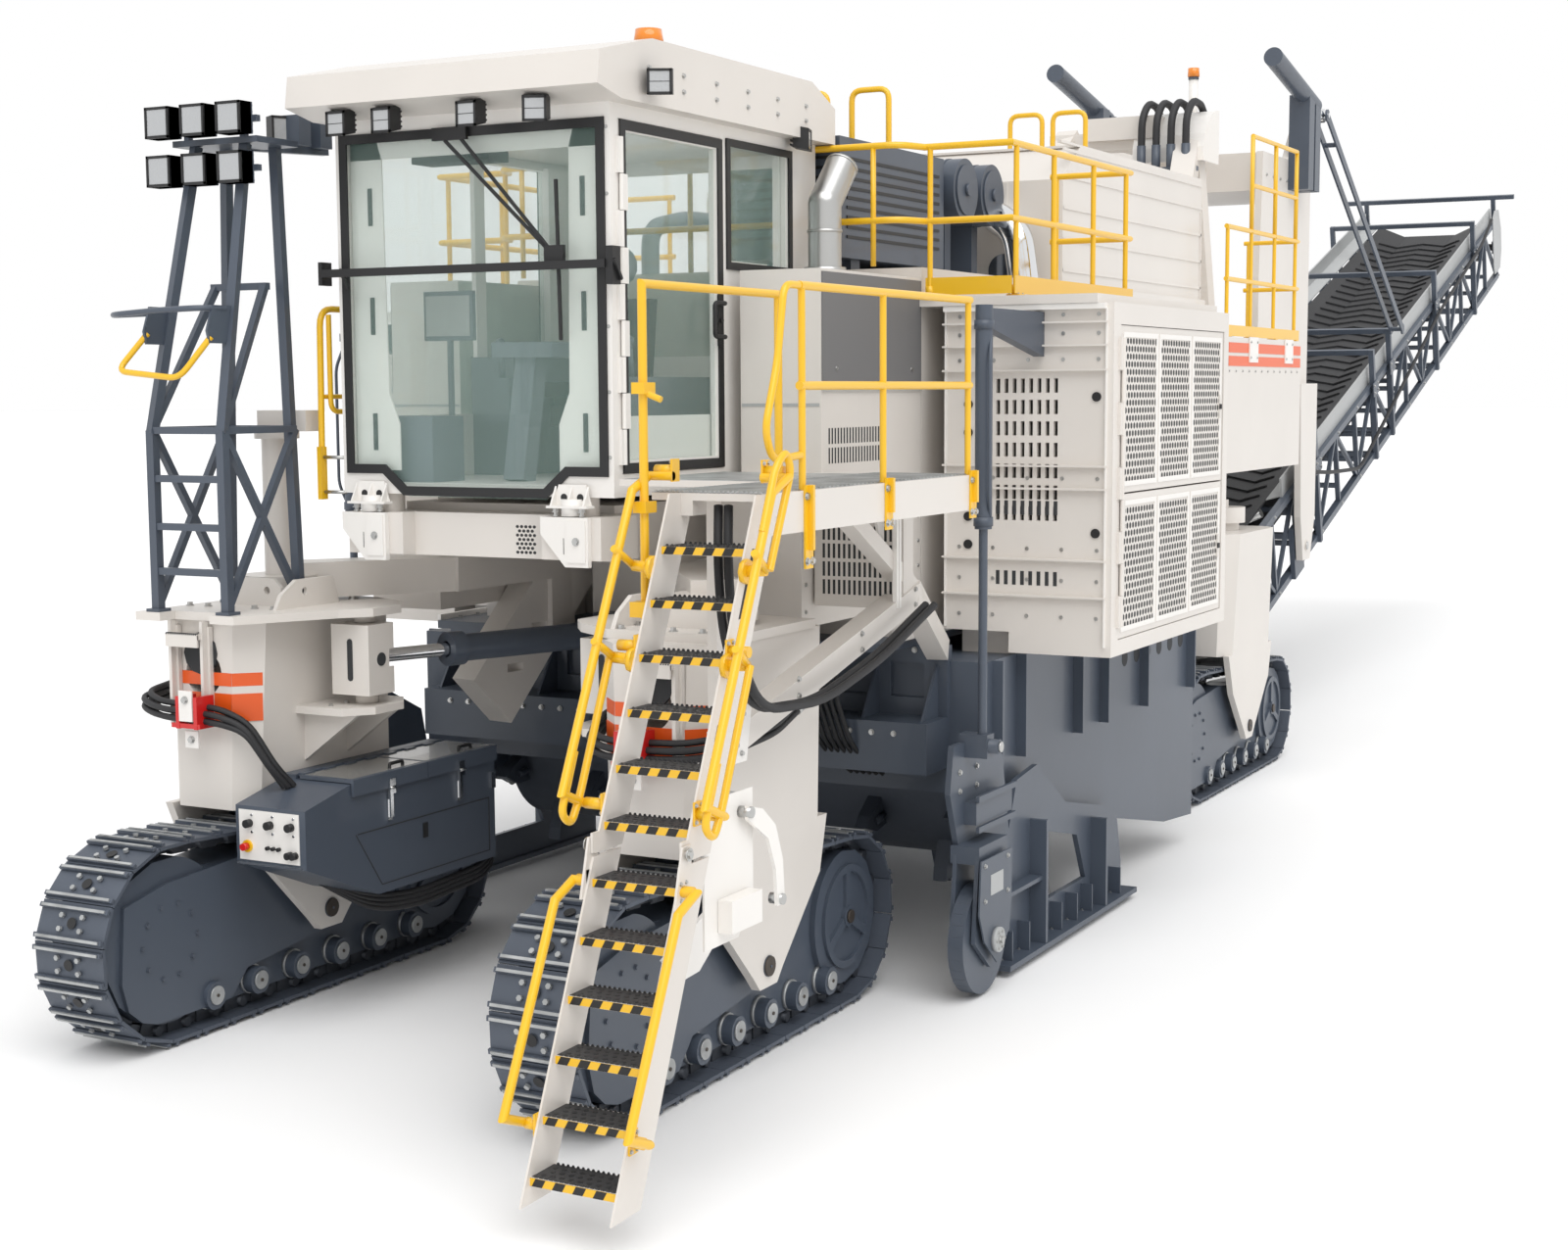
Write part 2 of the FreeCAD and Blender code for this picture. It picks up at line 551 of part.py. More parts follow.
def box_door(low, high):
    """Outer door in three grille panes, with its share of the hinge line."""
    x0, x1 = BOX_REAR + 130, BOX_FRONT - 166
    y0, y1 = BOX_OUT - 50, BOX_OUT - 8
    door = box(x0, x1, y0, y1, low, high)
    panes = 3
    width = (x1 - x0 - 60) / panes
    for pane in range(panes):
        a = x0 + 60 + pane * width
        door = door.cut(box(a, a + width - 60, y0 - 5, y0 + 26, low + 60, high - 60))
    handle = box(x0 + 60, x0 + 100, y1 - 2, y1 + 12, (low + high) / 2 - 90, (low + high) / 2 + 90)
    moving = knuckles((BOX_FRONT - 160, HINGE_OUT, BOX_LOW + 200),
                      (BOX_FRONT - 160, HINGE_OUT, BOX_TOP - 240), 14, 9)[1]
    moving = [k for k in moving if low < k.CenterOfMass.z < high]
    ties = [box(x1 - 50, x1 - 6, y1 - 4, HINGE_OUT + 4, k.BoundBox.ZMin, k.BoundBox.ZMax)
            for k in moving]
    reach = [box(x1 - 10, BOX_FRONT - 160, HINGE_OUT - 6, HINGE_OUT + 4, k.BoundBox.ZMin,
                 k.BoundBox.ZMax) for k in moving]
    return fuse([door, handle] + moving + ties + reach)


def make_body():
    """Engine hall with its hood, radiator modules, rear bay and the engine inside."""
    hall = box(HALL_REAR, HALL_FRONT, -1750, 1750, DECK_Z, HALL_TOP)
    roof = [(-8950, HALL_TOP - 1), (-8950, 5850), (-9400, 6150), (HALL_REAR, 6150),
            (HALL_REAR, HALL_TOP - 1)]
    hall = hall.fuse(slab(roof, "y", -1700, 1700))
    hall = hall.cut(box(HALL_REAR + 80, HALL_FRONT - 80, -1690, 1690, DECK_Z - 10, HALL_TOP - 60))
    inner = [(-9010, HALL_TOP - 70), (-9010, 5830), (-9420, 6090), (HALL_REAR + 60, 6090),
             (HALL_REAR + 60, HALL_TOP - 70)]
    hall = hall.cut(slab(inner, "y", -1640, 1640))
    hall = hall.cut(box(HALL_REAR - 9, -12310, -1760, 1760, DECK_Z - 9, 2980))
    add("engine_hall", hall)
    add("engine_block", box(-11600, -8200, -700, 700, DECK_Z, 4100))
    bay = box(-15900, -12920, -1950, 1950, 3250, 4620)
    bay = bay.cut(box(-15820, -13000, -1870, 1870, 3240, 4560))
    posts = both_sides(box(-15340, -14560, 700, 1100, DECK_Z - 60, 4570))
    posts += both_sides(box(-12990, -12910, 1000, 1600, 3240, 4570))
    add("rear_bay", bay.fuse(fuse(posts)))
    upper = box(-5990, -4390, 1150, 1750, 3480, 4900).cut(box(-5940, -4440, 1200, 1700, 3440, 4860))
    lower = box(-5990, -4100, 1150, 1750, 2560, 3500).cut(box(-5940, -4150, 1200, 1700, 2600, 3460))
    lower = lower.cut(box(-5940, -4440, 1200, 1700, 3400, 3600))
    module = fuse([upper, lower, box(-5990, -5500, 1150, 1750, DECK_Z, 2580)])
    vents = [box(-4330 - c * 210, -4330 - c * 210 - 170, 1690, 1790, z, z + 60)
             for c in range(6) for z in range(2840, 3440, 110)]
    module = module.cut(Part.makeCompound(vents))
    add("radiator_modules", group(both_sides(module)))
    add("service_boxes", group(both_sides(service_box())))
    upper = box_door(BOX_SPLIT + 6, BOX_TOP - 155)
    lower = box_door(BOX_LOW + 115, BOX_SPLIT - 6)
    for side, flip in (("left", lambda s: s), ("right", mirrored)):
        add("box_door_upper_" + side, flip(upper))
        add("box_door_lower_" + side, flip(lower))


def make_top_gear():
    """Air filter housing with its two cans behind, and the exhaust."""
    housing = box(-7650, -5790, 300, 1200, 5060, 5920)
    feet = [box(x - 75, x + 75, 400, 1100, HALL_TOP, 5070) for x in (-7450, -6250)]
    pieces = [fuse([housing] + feet)]
    for x in (-7960, -8520):
        pieces.append(fuse([rod((x, 380, 5700), (x, 1260, 5700), 250),
                            box(x - 60, x + 60, 500, 1100, HALL_TOP, 5480)]))
    add("air_filters", group(pieces))
    stack = [rod((-5350, 1300, 4900), (-5350, 1300, 5400), 118),
             Part.makeSphere(118, V(-5350, 1300, 5400)),
             rod((-5350, 1300, 5400), (-5620, 1300, 5680), 118)]
    add("exhaust", fuse(stack))


# ---------------------------------------------------------------- cab
def make_cab():
    """Driver's cab: hollow shell with its windows cut, roof, glass, door and seat."""
    x0, x1, w = CAB_REAR, CAB_FRONT, CAB_HALF
    shell = box(x0, x1, -w, w, CAB_LOW, CAB_TOP)
    shell = shell.cut(box(x0 + 60, x1 - 60, -w + 60, w - 60, CAB_LOW + 60, CAB_TOP - 40))
    screen = [(-w + 70, CAB_TOP - 90), (w - 70, CAB_TOP - 90), (w - 70, CAB_LOW + 130),
              (700, CAB_LOW + 130), (540, CAB_LOW - 20), (-540, CAB_LOW - 20),
              (-700, CAB_LOW + 130), (-w + 70, CAB_LOW + 130)]
    shell = shell.cut(slab(screen, "x", x1 - 70, x1 + 10))
    door = [(x1 - 100, CAB_TOP - 90), (DOOR_REAR, CAB_TOP - 90), (DOOR_REAR, DOOR_LOW - 6),
            (x1 - 100, DOOR_LOW - 6)]
    shell = shell.cut(slab(door, "y", w - 70, w + 10))
    pane = box(DOOR_REAR - 90, x0 + 420, w - 70, w + 10, CAB_TOP - 900, CAB_TOP - 120)
    shell = shell.cut(pane)
    right = box(x1 - 120, x0 + 420, -w - 10, -w + 70, CAB_LOW + 500, CAB_TOP - 120)
    shell = shell.cut(right)
    shell = shell.cut(box(x0 - 10, x0 + 70, -w + 250, w - 250, CAB_LOW + 900, CAB_TOP - 150))
    line = ((x1 - 100, w + 20, CAB_LOW + 200), (x1 - 100, w + 20, CAB_TOP - 200))
    fixed, moving = knuckles(*line, 14, 9)
    ties = [box(x1 - 100, x1 - 60, w - 4, w + 24, k.BoundBox.ZMin, k.BoundBox.ZMax) for k in fixed]
    add("cab_shell", fuse([shell] + fixed + ties))
    roof = [(x1 + 330, CAB_TOP + 60), (x1 + 300, CAB_TOP + 260), (x1 - 300, CAB_TOP + 400),
            (x0 + 300, CAB_TOP + 400), (x0 - 60, CAB_TOP + 250), (x0 - 60, CAB_TOP),
            (x1 + 60, CAB_TOP)]
    add("cab_roof", slab(roof, "y", -w - 130, w + 130))
    glass = [slab([(y * 0.995, z) for y, z in screen], "x", x1 - 34, x1 - 22)]
    glass.append(box(DOOR_REAR - 92, x0 + 422, w - 34, w - 24, CAB_TOP - 900, CAB_TOP - 120))
    glass.append(box(x1 - 122, x0 + 422, -w + 24, -w + 34, CAB_LOW + 500, CAB_TOP - 120))
    glass.append(box(x0 + 24, x0 + 34, -w + 252, w - 252, CAB_LOW + 900, CAB_TOP - 150))
    add("cab_glass", group(glass))
    x_a, x_b = x1 - 106, DOOR_REAR + 6
    leaf = box(x_a, x_b, w - 50, w, DOOR_LOW, CAB_TOP - 96)
    opening = box(x_a - 70, x_b + 70, w - 60, w + 10, DOOR_LOW + 74, CAB_TOP - 166)
    ties = [box(x_a - 60, x_a + 6, w + 6, w + 24, k.BoundBox.ZMin, k.BoundBox.ZMax) for k in moving]
    ties += [box(x_a - 60, x_a - 6, w - 4, w + 10, k.BoundBox.ZMin, k.BoundBox.ZMax) for k in moving]
    add("cab_door", fuse([leaf.cut(opening)] + moving + ties))
    add("cab_door_glass", box(x_a - 72, x_b + 72, w - 30, w - 20, DOOR_LOW + 74, CAB_TOP - 166))
    seat_x = (x0 + x1) / 2 - 150
    base = rod((seat_x, 0, CAB_LOW + 60), (seat_x, 0, CAB_LOW + 420), 110)
    cushion = box(seat_x - 260, seat_x + 260, -260, 260, CAB_LOW + 420, CAB_LOW + 560)
    back = slab([(seat_x - 260, CAB_LOW + 520), (seat_x - 140, CAB_LOW + 520),
                 (seat_x - 260, CAB_LOW + 1300), (seat_x - 360, CAB_LOW + 1300)], "y", -240, 240)
    arms = both_sides(box(seat_x - 150, seat_x + 380, 290, 400, CAB_LOW + 620, CAB_LOW + 720))
    posts = both_sides(box(seat_x - 100, seat_x, 250, 400, CAB_LOW + 450, CAB_LOW + 640))
    add("cab_seat", fuse([base, cushion, back] + arms + posts))


def make_cab_support():
    """Cross beam with rubber-mounted brackets, and the sloping floor tub behind it."""
    front = CAB_FRONT + 40
    beam = box(front - 420, front - 120, -980, 980, 3050, 3330)
    tub = slab([(front - 400, 3070), (-4200, 2950), (-5990, 3050), (-5990, 3380), (front - 400, 3380)],
               "y", -820, 820)
    ears = []
    for y in (-980, 540):
        ears.append(slab([(front - 120, 3330), (front + 10, 3330), (front + 10, 3060),
                          (front - 120, 3050)], "y", y, y + 440))
    mounts = [rod((front - 160, y, 3320), (front - 160, y, CAB_LOW), 90) for y in (-760, 760)]
    rear = [rod((CAB_REAR + 200, y, 3370), (CAB_REAR + 200, y, CAB_LOW), 90) for y in (-700, 700)]
    stand = box(-5990, -5400, -700, 700, DECK_Z, 3060)
    add("cab_support", fuse([beam, tub, stand] + ears + mounts + rear))


# ---------------------------------------------------------------- access
def front_line(z, off=0):
    """Station of the ladder's tread noses at a height, moved forward by off."""
    return -(z - 330) * TREAD_RUN / TREAD_RISE + off


def stringer(low, high):
    """Side channel of the ladder between two heights, in the XZ plane."""
    return [(front_line(low, 30), low), (front_line(high, 30), high),
            (front_line(high, -230), high), (front_line(low, -230), low)]


def tread(index):
    z = 330 + index * TREAD_RISE
    x = front_line(z)
    return box(x, x - 215, LADDER_Y - 2, LADDER_Y + TREAD_WIDTH + 2, z - 42, z)


def ladder_rail(low, high, y, aside):
    """Tube standing off a stringer in front and aside, returned to it at both ends."""
    off = 170
    return rail([(front_line(low), y, low), (front_line(low), y + aside, low),
                 (front_line(low, off), y + aside, low + 70),
                 (front_line(high, off), y + aside, high - 40),
                 (front_line(high), y + aside, high + 30), (front_line(high), y, high + 30)])


def make_ladder():
    """Boarding ladder in two lengths; the lower one swings up about its pivot."""
    y0, y1 = LADDER_Y, LADDER_Y + TREAD_WIDTH
    pieces = []
    for y in (y0 - 12, y1):
        pieces.append(slab(stringer(PIVOT_Z - 45, FLOOR_Z), "y", y, y + 12))
    for y in (y0 - 12, y1 - 70):
        pieces.append(box(front_line(FLOOR_Z, -230), -1500, y, y + 82, FLOOR_Z - 120, FLOOR_Z))
    pieces += [tread(k) for k in range(LOWER_TREADS, TREAD_COUNT)]
    for y, out in ((y0 - 12, -1), (y1 + 12, 1)):
        pieces.append(box(PIVOT_X - 60, PIVOT_X + 20, y, y - out * 12, PIVOT_Z - 40, PIVOT_Z + 60))
        pieces.append(rod((PIVOT_X, y - out * 4, PIVOT_Z), (PIVOT_X, y + out * 22, PIVOT_Z), 16))
    add("ladder_upper", fuse(pieces))
    pieces = [tread(k) for k in range(LOWER_TREADS)]
    rails = []
    for y in (y0 - 12, y1):
        pieces.append(slab(stringer(200, PIVOT_Z - 62), "y", y, y + 12))
    for y, out in ((y0 - 12, -1), (y1 + 12, 1)):
        ear = slab([(PIVOT_X - 60, PIVOT_Z + 40), (PIVOT_X + 30, PIVOT_Z + 40),
                    (PIVOT_X + 110, PIVOT_Z - 260), (PIVOT_X - 30, PIVOT_Z - 260)],
                   "y", y + min(0, out * 14), y + max(0, out * 14))
        ear = ear.cut(box(PIVOT_X - 90, PIVOT_X + 90, y, y + out * 2, PIVOT_Z - 55, PIVOT_Z + 50))
        ear = ear.cut(rod((PIVOT_X, y - 30, PIVOT_Z), (PIVOT_X, y + 30, PIVOT_Z), 18))
        pieces.append(ear)
        rails.append(ladder_rail(560, PIVOT_Z - 210, y, out * 90))
    add("ladder_lower", fuse(pieces))
    add("ladder_lower_rails", group(rails))
    seat("ladder_lower_rails", "ladder_lower")


def make_platform():
    """Landing beside the cab with its outer beam and diagonal bracing."""
    y_out = LADDER_Y + TREAD_WIDTH
    floor = box(-1500, -4300, y_out, 2200, FLOOR_Z - 40, FLOOR_Z)
    inner = box(-2900, -4140, 1120, 2200, FLOOR_Z - 40, FLOOR_Z)
    beam = box(-1500, -4300, y_out - 60, y_out, FLOOR_Z - 220, FLOOR_Z)
    cross = box(-4180, -4300, 1770, y_out, FLOOR_Z - 220, FLOOR_Z)
    brace = [bar((-3300, BRACE_Y, FLOOR_Z - 100), (-4500, BRACE_Y, 2800), 110, 110),
             bar((-4500, BRACE_Y, 2780), (-1950, BRACE_Y, 2150), 150, 150),
             bar((-4450, BRACE_Y, 2800), (-5560, 2080, 2280), 150, 150),
             bar((-1900, BRACE_Y, 2150), (-1900, BRACE_Y, FLOOR_Z - 30), 60, 60)]
    tie = box(-4400, -4250, 1770, BRACE_Y + 60, 2700, FLOOR_Z - 30)
    add("platform", fuse([floor, inner, beam, cross, tie] + brace))


def make_guard_rails():
    """All fixed yellow rails: ladder, landing, side walkways and rear bay."""
    sets = []
    y0, y1 = LADDER_Y - 12, LADDER_Y + TREAD_WIDTH + 12
    sets += [ladder_rail(PIVOT_Z + 180, FLOOR_Z + 60, y0, -150),
             ladder_rail(PIVOT_Z + 180, FLOOR_Z + 60, y1, 150)]
    y_out, y_in = LADDER_Y + TREAD_WIDTH - 30, LADDER_Y - 130
    top = FLOOR_Z + 1090
    outer = [rail([(-1950, y_out, z), (-4280, y_out, z)]) for z in (FLOOR_Z + 560, top)]
    outer += [stanchion(x, y_out, FLOOR_Z, top) for x in (-1980, -3000, -4250)]
    sets.append(fuse(outer))
    lug_z = FLOOR_Z - 600
    inner = rail([(-1340, y_in, lug_z - 60), (-1340, y_in, top), (-2850, y_in, top),
                  (-2850, y_in, FLOOR_Z)])
    lug = box(front_line(lug_z, -60), -1380, y_in - 20, LADDER_Y - 12, lug_z - 40, lug_z + 40)
    sets.append(inner.fuse(lug))
    floor = BOX_TOP + 60
    y = 2450
    side = [rail([(-5970, 1780, z), (-5970, y, z), (-8500, y, z), (-8500, 1780, z)])
            for z in (floor + 540, floor + 1060)]
    side += [stanchion(x, yy, floor, floor + 1060) for x, yy in
             ((-5970, 1830), (-6060, y), (-6800, y), (-7650, y), (-8410, y), (-8500, 1830))]
    sets += both_sides(fuse(side))
    rear = [rail([(-13100, 1900, z), (-15850, 1900, z), (-15850, 1300, z)]) for z in (5200, 5720)]
    rear += [stanchion(x, yy, 4620, 5720) for x, yy in
             ((-13140, 1900), (-14000, 1900), (-14900, 1900), (-15760, 1900), (-15850, 1350))]
    sets += both_sides(fuse(rear))
    add("guard_rails", group(sets))
    seat("guard_rails", "ladder_upper", "platform")


def make_mast():
    """Lamp mast on the right-hand front column: climbing face, bracing and floodlights."""
    x_f, x_r = -2160, -2850
    y_a, y_b = -1965, -1375
    foot = COLUMN_TOP + 55
    knee, top = 3870, 5700
    pieces = []
    for y in (y_a, y_b):
        y_top = (y_a + y_b) / 2 + (y - (y_a + y_b) / 2) * 0.7
        pieces.append(bar((x_f, y, foot), (x_f, y, knee), 60, 60))
        pieces.append(bar((x_f, y, knee - 20), (-2560, y_top, top), 60, 60))
        pieces.append(bar((x_r, y, foot), (-2840, y_top, top + 20), 60, 60))
        pieces.append(bar((x_f, y, foot + 40), (x_r, y, knee), 45, 45))
        pieces.append(bar((x_r, y, foot + 40), (x_f, y, knee), 45, 45))
        pieces.append(bar((x_f, y, knee), (x_r, y, knee), 45, 45))
        pieces.append(bar((x_f, y, knee), (-2700, y_top, 4800), 45, 45))
    for z in (2960, 3250, 3560, knee):
        pieces.append(bar((x_f, y_a, z), (x_f, y_b, z), 45, 45))
    pieces.append(bar((-2840, y_a + 60, knee), (-2840, y_b - 60, knee), 45, 45))
    for y in (y_a, y_b):
        for x in (x_f, x_r):
            pieces.append(box(x - 55, x + 55, y - 55, y + 55, foot, foot + 20))
    pieces.append(bar((-2700, y_a + 60, 4800), (-2700, y_b - 60, 4800), 45, 45))
    pieces.append(box(-2900, -2500, y_a - 60, y_b + 60, top, top + 40))
    pieces.append(bar((-2840, -1670, top + 20), (-3600, -1670, top + 60), 60, 60))
    for z in (5540, 5850):
        pieces.append(box(-2540, -2500, y_a - 200, y_b + 60, z - 20, z + 20))
    pieces += [box(-2540, -2500, y - 20, y + 20, top, 5850) for y in (y_a + 60, y_b - 60)]
    for z in (5440, 5750):
        for k in range(3):
            y = y_a - 80 + k * 300
            pieces.append(box(-2502, -2390, y - 100, y + 100, z, z + 200))
    for k in range(2):
        pieces.append(box(-3310 - k * 220, -3190 - k * 220, -1790, -1550, top + 60, top + 260))
    mast = fuse(pieces)
    add("lamp_mast", mast.cut(box(-3500, -2000, -2400, -1000, foot - 99, foot)))


def make_toolbox():
    """Steel box beside the right-hand front track: control face, two lids on top."""
    y0, y1 = -1320, -750
    outline = [(-2110, 1100), (-2110, 1480), (-2560, TOOLBOX_TOP - 30), (-4150, TOOLBOX_TOP - 30),
               (-4150, 800), (-2830, 800)]
    shell = slab(outline, "y", y0, y1)
    for x0, x1, low in ((-4110, -3370, 860), (-3330, -2640, 930)):
        shell = shell.cut(box(x0, x1, y0 + 40, y1 - 40, low, TOOLBOX_TOP))
    line_y = y0 + 130
    fixed, moving = knuckles((-4100, line_y, TOOLBOX_TOP), (-2580, line_y, TOOLBOX_TOP), 12, 14)
    ledge = box(-4150, -2560, y0, line_y - 14, TOOLBOX_TOP - 32, TOOLBOX_TOP)
    shell = fuse([shell, ledge] + [box(k.BoundBox.XMin, k.BoundBox.XMax, line_y - 16, line_y + 10,
                                       TOOLBOX_TOP - 34, TOOLBOX_TOP) for k in fixed] + fixed
                 + [box(x, x + 200, -1346, y0 + 1, 950, 1250) for x in (-3500, -2800)])
    add("toolbox", shell)
    for name, x0, x1 in (("rear", -4150, -3353), ("front", -3347, -2560)):
        lid = box(x0, x1, line_y + 20, y1 + 26, TOOLBOX_TOP - 24, TOOLBOX_TOP)
        skirt = box(x0, x1, y1 + 6, y1 + 26, TOOLBOX_TOP - 110, TOOLBOX_TOP)
        mine = [k for k in moving if x0 < k.CenterOfMass.x < x1]
        straps = [box(k.BoundBox.XMin, k.BoundBox.XMax, line_y + 4, line_y + 44, TOOLBOX_TOP - 10,
                      TOOLBOX_TOP + 10) for k in mine]
        add("toolbox_lid_" + name, fuse([lid, skirt] + mine + straps))


# ---------------------------------------------------------------- rear
def make_rear():
    """Primary belt under the frame, fixed gantry and the slewing frame of the boom."""
    belt = slab([(-8350, 800), (-8350, 1000), (-16900, 3250), (-16950, 3100), (-16900, 3000)],
                "y", -640, 640)
    add("primary_conveyor", belt)
    arm_low = box(-15900, SLEW_X + 200, -420, 420, 3700, 3980)
    pin_low = rod((SLEW_X, 0, 3560), (SLEW_X, 0, 4150), 170)
    hub = rod((SLEW_X, 0, 3700), (SLEW_X, 0, 3980), 420)
    legs = both_sides(bar((-13300, 1150, 4600), (-15700, 700, 6950), 260, 300))
    top = box(-15400, SLEW_X, -420, 420, 6900, 7150)
    hub_top = rod((SLEW_X, 0, 6900), (SLEW_X, 0, 7150), 420)
    pin_top = rod((SLEW_X, 0, 6500), (SLEW_X, 0, 7200), 150)
    cross = box(-15500, -15800, -900, 900, 6800, 7000)
    back = both_sides(bar((-15700, 700, 6900), (-15700, 900, 4600), 240, 240))
    add("gantry", fuse([arm_low, hub, pin_low, top, hub_top, pin_top, cross] + legs + back))
    seat("gantry", "rear_bay")
    low = box(-17100, -19000, -1100, 1100, 4000, 4330)
    low = low.cut(rod((SLEW_X, 0, 3900), (SLEW_X, 0, 4500), 176))
    high = box(-17100, -19000, -1100, 1100, 6420, 6860)
    high = high.cut(rod((SLEW_X, 0, 6300), (SLEW_X, 0, 7000), 156))
    sides = both_sides(slab([(-16900, 4000), (-19200, 4000), (-19200, 7300), (-18500, 7300),
                             (-18100, 6860), (-17000, 6860), (-16900, 5400)], "y", 1100, 1180))
    legs = both_sides(slab([(-18400, 4010), (-18500, 2500), (-18650, 1950), (-19000, 1950),
                            (-19200, 2500), (-19200, 4010)], "y", LEG_Y, LEG_Y + 80))
    knees = both_sides(box(-18400, -19200, 1100, LEG_Y + 80, 4000, 4160))
    pins = both_sides(rod((BOOM_X, LEG_Y - 60, BOOM_Z), (BOOM_X, LEG_Y + 90, BOOM_Z), 70))
    add("slew_frame", fuse([low, high] + sides + legs + knees + pins))
    tail, eye = V(*RAM_TAIL), V(*LINK_EYE)
    way = eye - tail
    way.normalize()
    gland = tail + way * 1900
    barrel = pipe(tail, gland, 110, 74)
    cap = Part.makeCylinder(110, 60, tail, way)
    holds = [box(x - 120, x + 120, 1180, RAM_TAIL[1] + 100, 6500, z)
             for x, z in ((-18540, 7567), (-18240, 7625))]
    hold = fuse(holds).cut(Part.makeCylinder(90, 2400, tail, way))
    add("luffing_rams", group(both_sides(fuse([barrel, cap, hold]))))
    inner = tail + way * 480
    shaft = Part.makeCylinder(60, (eye - inner).Length - 40, inner, way)
    head = fuse([rod((eye.x, eye.y - 45, eye.z), (eye.x, eye.y + 45, eye.z), 85)])
    pin = rod((eye.x, eye.y - 105, eye.z), (eye.x, eye.y + 105, eye.z), 32)
    add("luffing_rods", group(both_sides(fuse([shaft, head, pin]))))
    port = V(*STAY_PORT)
    straps = []
    for y in (eye.y - 94, eye.y + 70):
        start, end = V(eye.x, y, eye.z), V(port.x, y, port.z)
        strap = bar((start.x, y + 12, start.z), (end.x, y + 12, end.z), 24, 110)
        ends = [rod((p.x, y, p.z), (p.x, y + 24, p.z), 75) for p in (start, end)]
        straps.append(fuse([strap] + ends).cut(rod((start.x, y - 9, start.z),
                                                   (start.x, y + 33, start.z), 36)))
    spacers = [rod((eye.x + (port.x - eye.x) * t, eye.y - 80, eye.z + (port.z - eye.z) * t),
                   (eye.x + (port.x - eye.x) * t, eye.y + 80, eye.z + (port.z - eye.z) * t), 30)
               for t in (0.12, 1.0)]
    add("boom_stays", group(both_sides(fuse(straps + spacers))))


def make_boom():
    """Discharge conveyor: two truss sides, portals, belt, skirts and head bar.

    Drawn level along -X from the luffing hinge, then tilted up.
    """
    def place(shape):
        moved = shape.copy()
        moved.translate(V(BOOM_X, 0, BOOM_Z - 350 * cos(radians(BOOM_RISE))))
        moved.rotate(V(BOOM_X, 0, BOOM_Z), V(0, 1, 0), BOOM_RISE)
        return moved

    side = []
    first, last = BOOM_TAIL, BOOM_HEAD
    t = TRUSS_HALF
    for n in (0, TRUSS_TOP):
        side.append(box(-first, -last, t - 45, t + 45, n - 45, n + 45))
    bays = 15
    step = (last - first) / bays
    frames = []
    for k in range(bays + 1):
        s = -(first + k * step)
        side.append(box(s - 30, s + 30, t - 30, t + 30, 0, TRUSS_TOP))
        if k < bays:
            end = s - step
            low, high = (0, TRUSS_TOP) if k % 2 else (TRUSS_TOP, 0)
            side.append(bar((s, t, low), (end, t, high), 50, 50))
        if 0 < k < bays:
            frames.append(box(s - 25, s + 25, -t, t, 690, 750))
            frames.append(box(s - 25, s + 25, -t, t, 230, 290))
    for s in PORTALS:
        side.append(box(-s - 45, -s + 45, t + 20, t + 90, -60, PORTAL_TOP))
        frames.append(box(-s - 35, -s + 35, -t - 60, t + 60, PORTAL_TOP - 70, PORTAL_TOP))
        frames.append(box(-s - 35, -s + 35, -t, t, -40, 40))
    eye_n = 350 * cos(radians(BOOM_RISE))
    hinge = box(-220, 220, t + 35, t + 95, -45, 620).cut(rod((0, t, eye_n), (0, t + 200, eye_n), 76))
    side.append(hinge)
    for s in (-last, -first - 120):
        side.append(box(s, s + 120, t - 45, t + 45, 420, 640))
    frames += [box(-last + 30, -last + 110, -1480, 1480, 1400, 1470)]
    frames += [box(-last + 30, -last + 110, y - 35, y + 35, TRUSS_TOP, 1410) for y in (-1120, 1120)]
    add("boom_truss", place(fuse(both_sides(fuse(side)) + frames)))
    skirt = slab([(t - 45, TRUSS_TOP + 45), (t - 20, TRUSS_TOP + 45), (t - 20, 1290), (t - 45, 1290)],
                 "x", -last + 300, 190)
    slope = slab([(t - 45, TRUSS_TOP + 50), (t - 45, TRUSS_TOP + 70), (900, 1010), (900, 995)],
                 "x", -last + 300, 190)
    skirt = skirt.fuse(slope)
    plate = slab([(-last - 250, 420), (-last - 80, 120), (-last + 420, 120), (-last + 500, 300),
                  (-last + 500, 1150), (-last + 300, 1250), (-last - 60, 1180), (-last - 250, 800)],
                 "y", t + 45, t + 60)
    add("boom_skirts", place(group(both_sides(skirt) + both_sides(plate))))
    trough = [(-880, 990), (-420, 780), (420, 780), (880, 990), (880, 960), (430, 750),
              (-430, 750), (-880, 960)]
    carry = slab(trough, "x", -last + 120, -first - 120)
    back_run = box(-last + 120, -first - 120, -700, 700, 290, 320)
    drums = []
    for s in (-last + 60, -first - 60):
        drums.append(rod((s, -900, 530), (s, 900, 530), 245))
        drums.append(rod((s, -t + 45, 530), (s, t - 45, 530), 60))
    add("boom_belt", place(fuse([carry, back_run] + drums)))
    seat("boom_belt", "boom_truss")


def export():
    os.makedirs("parts", exist_ok=True)
    for name, shape in PARTS.items():
        moved = shape.copy()
        moved.translate(V(-ORIGIN_STATION, 0, 0))
        moved.exportStep(os.path.join("parts", name + ".step"))


make_tracks()
make_rams()
make_chassis()
make_column_heads()
make_drum()
make_side_plates()
make_body()
make_top_gear()
make_cab()
make_cab_support()
make_ladder()
make_platform()
make_guard_rails()
make_mast()
make_toolbox()
make_rear()
make_boom()
seat("primary_conveyor", "chassis_frame")
seat("column_heads", "chassis_frame")
seat("plate_lift_barrels", "service_boxes")
seat("platform", "ladder_upper", "chassis_frame", "radiator_modules")
seat("exhaust", "radiator_modules", "cab_shell", "cab_roof")
export()
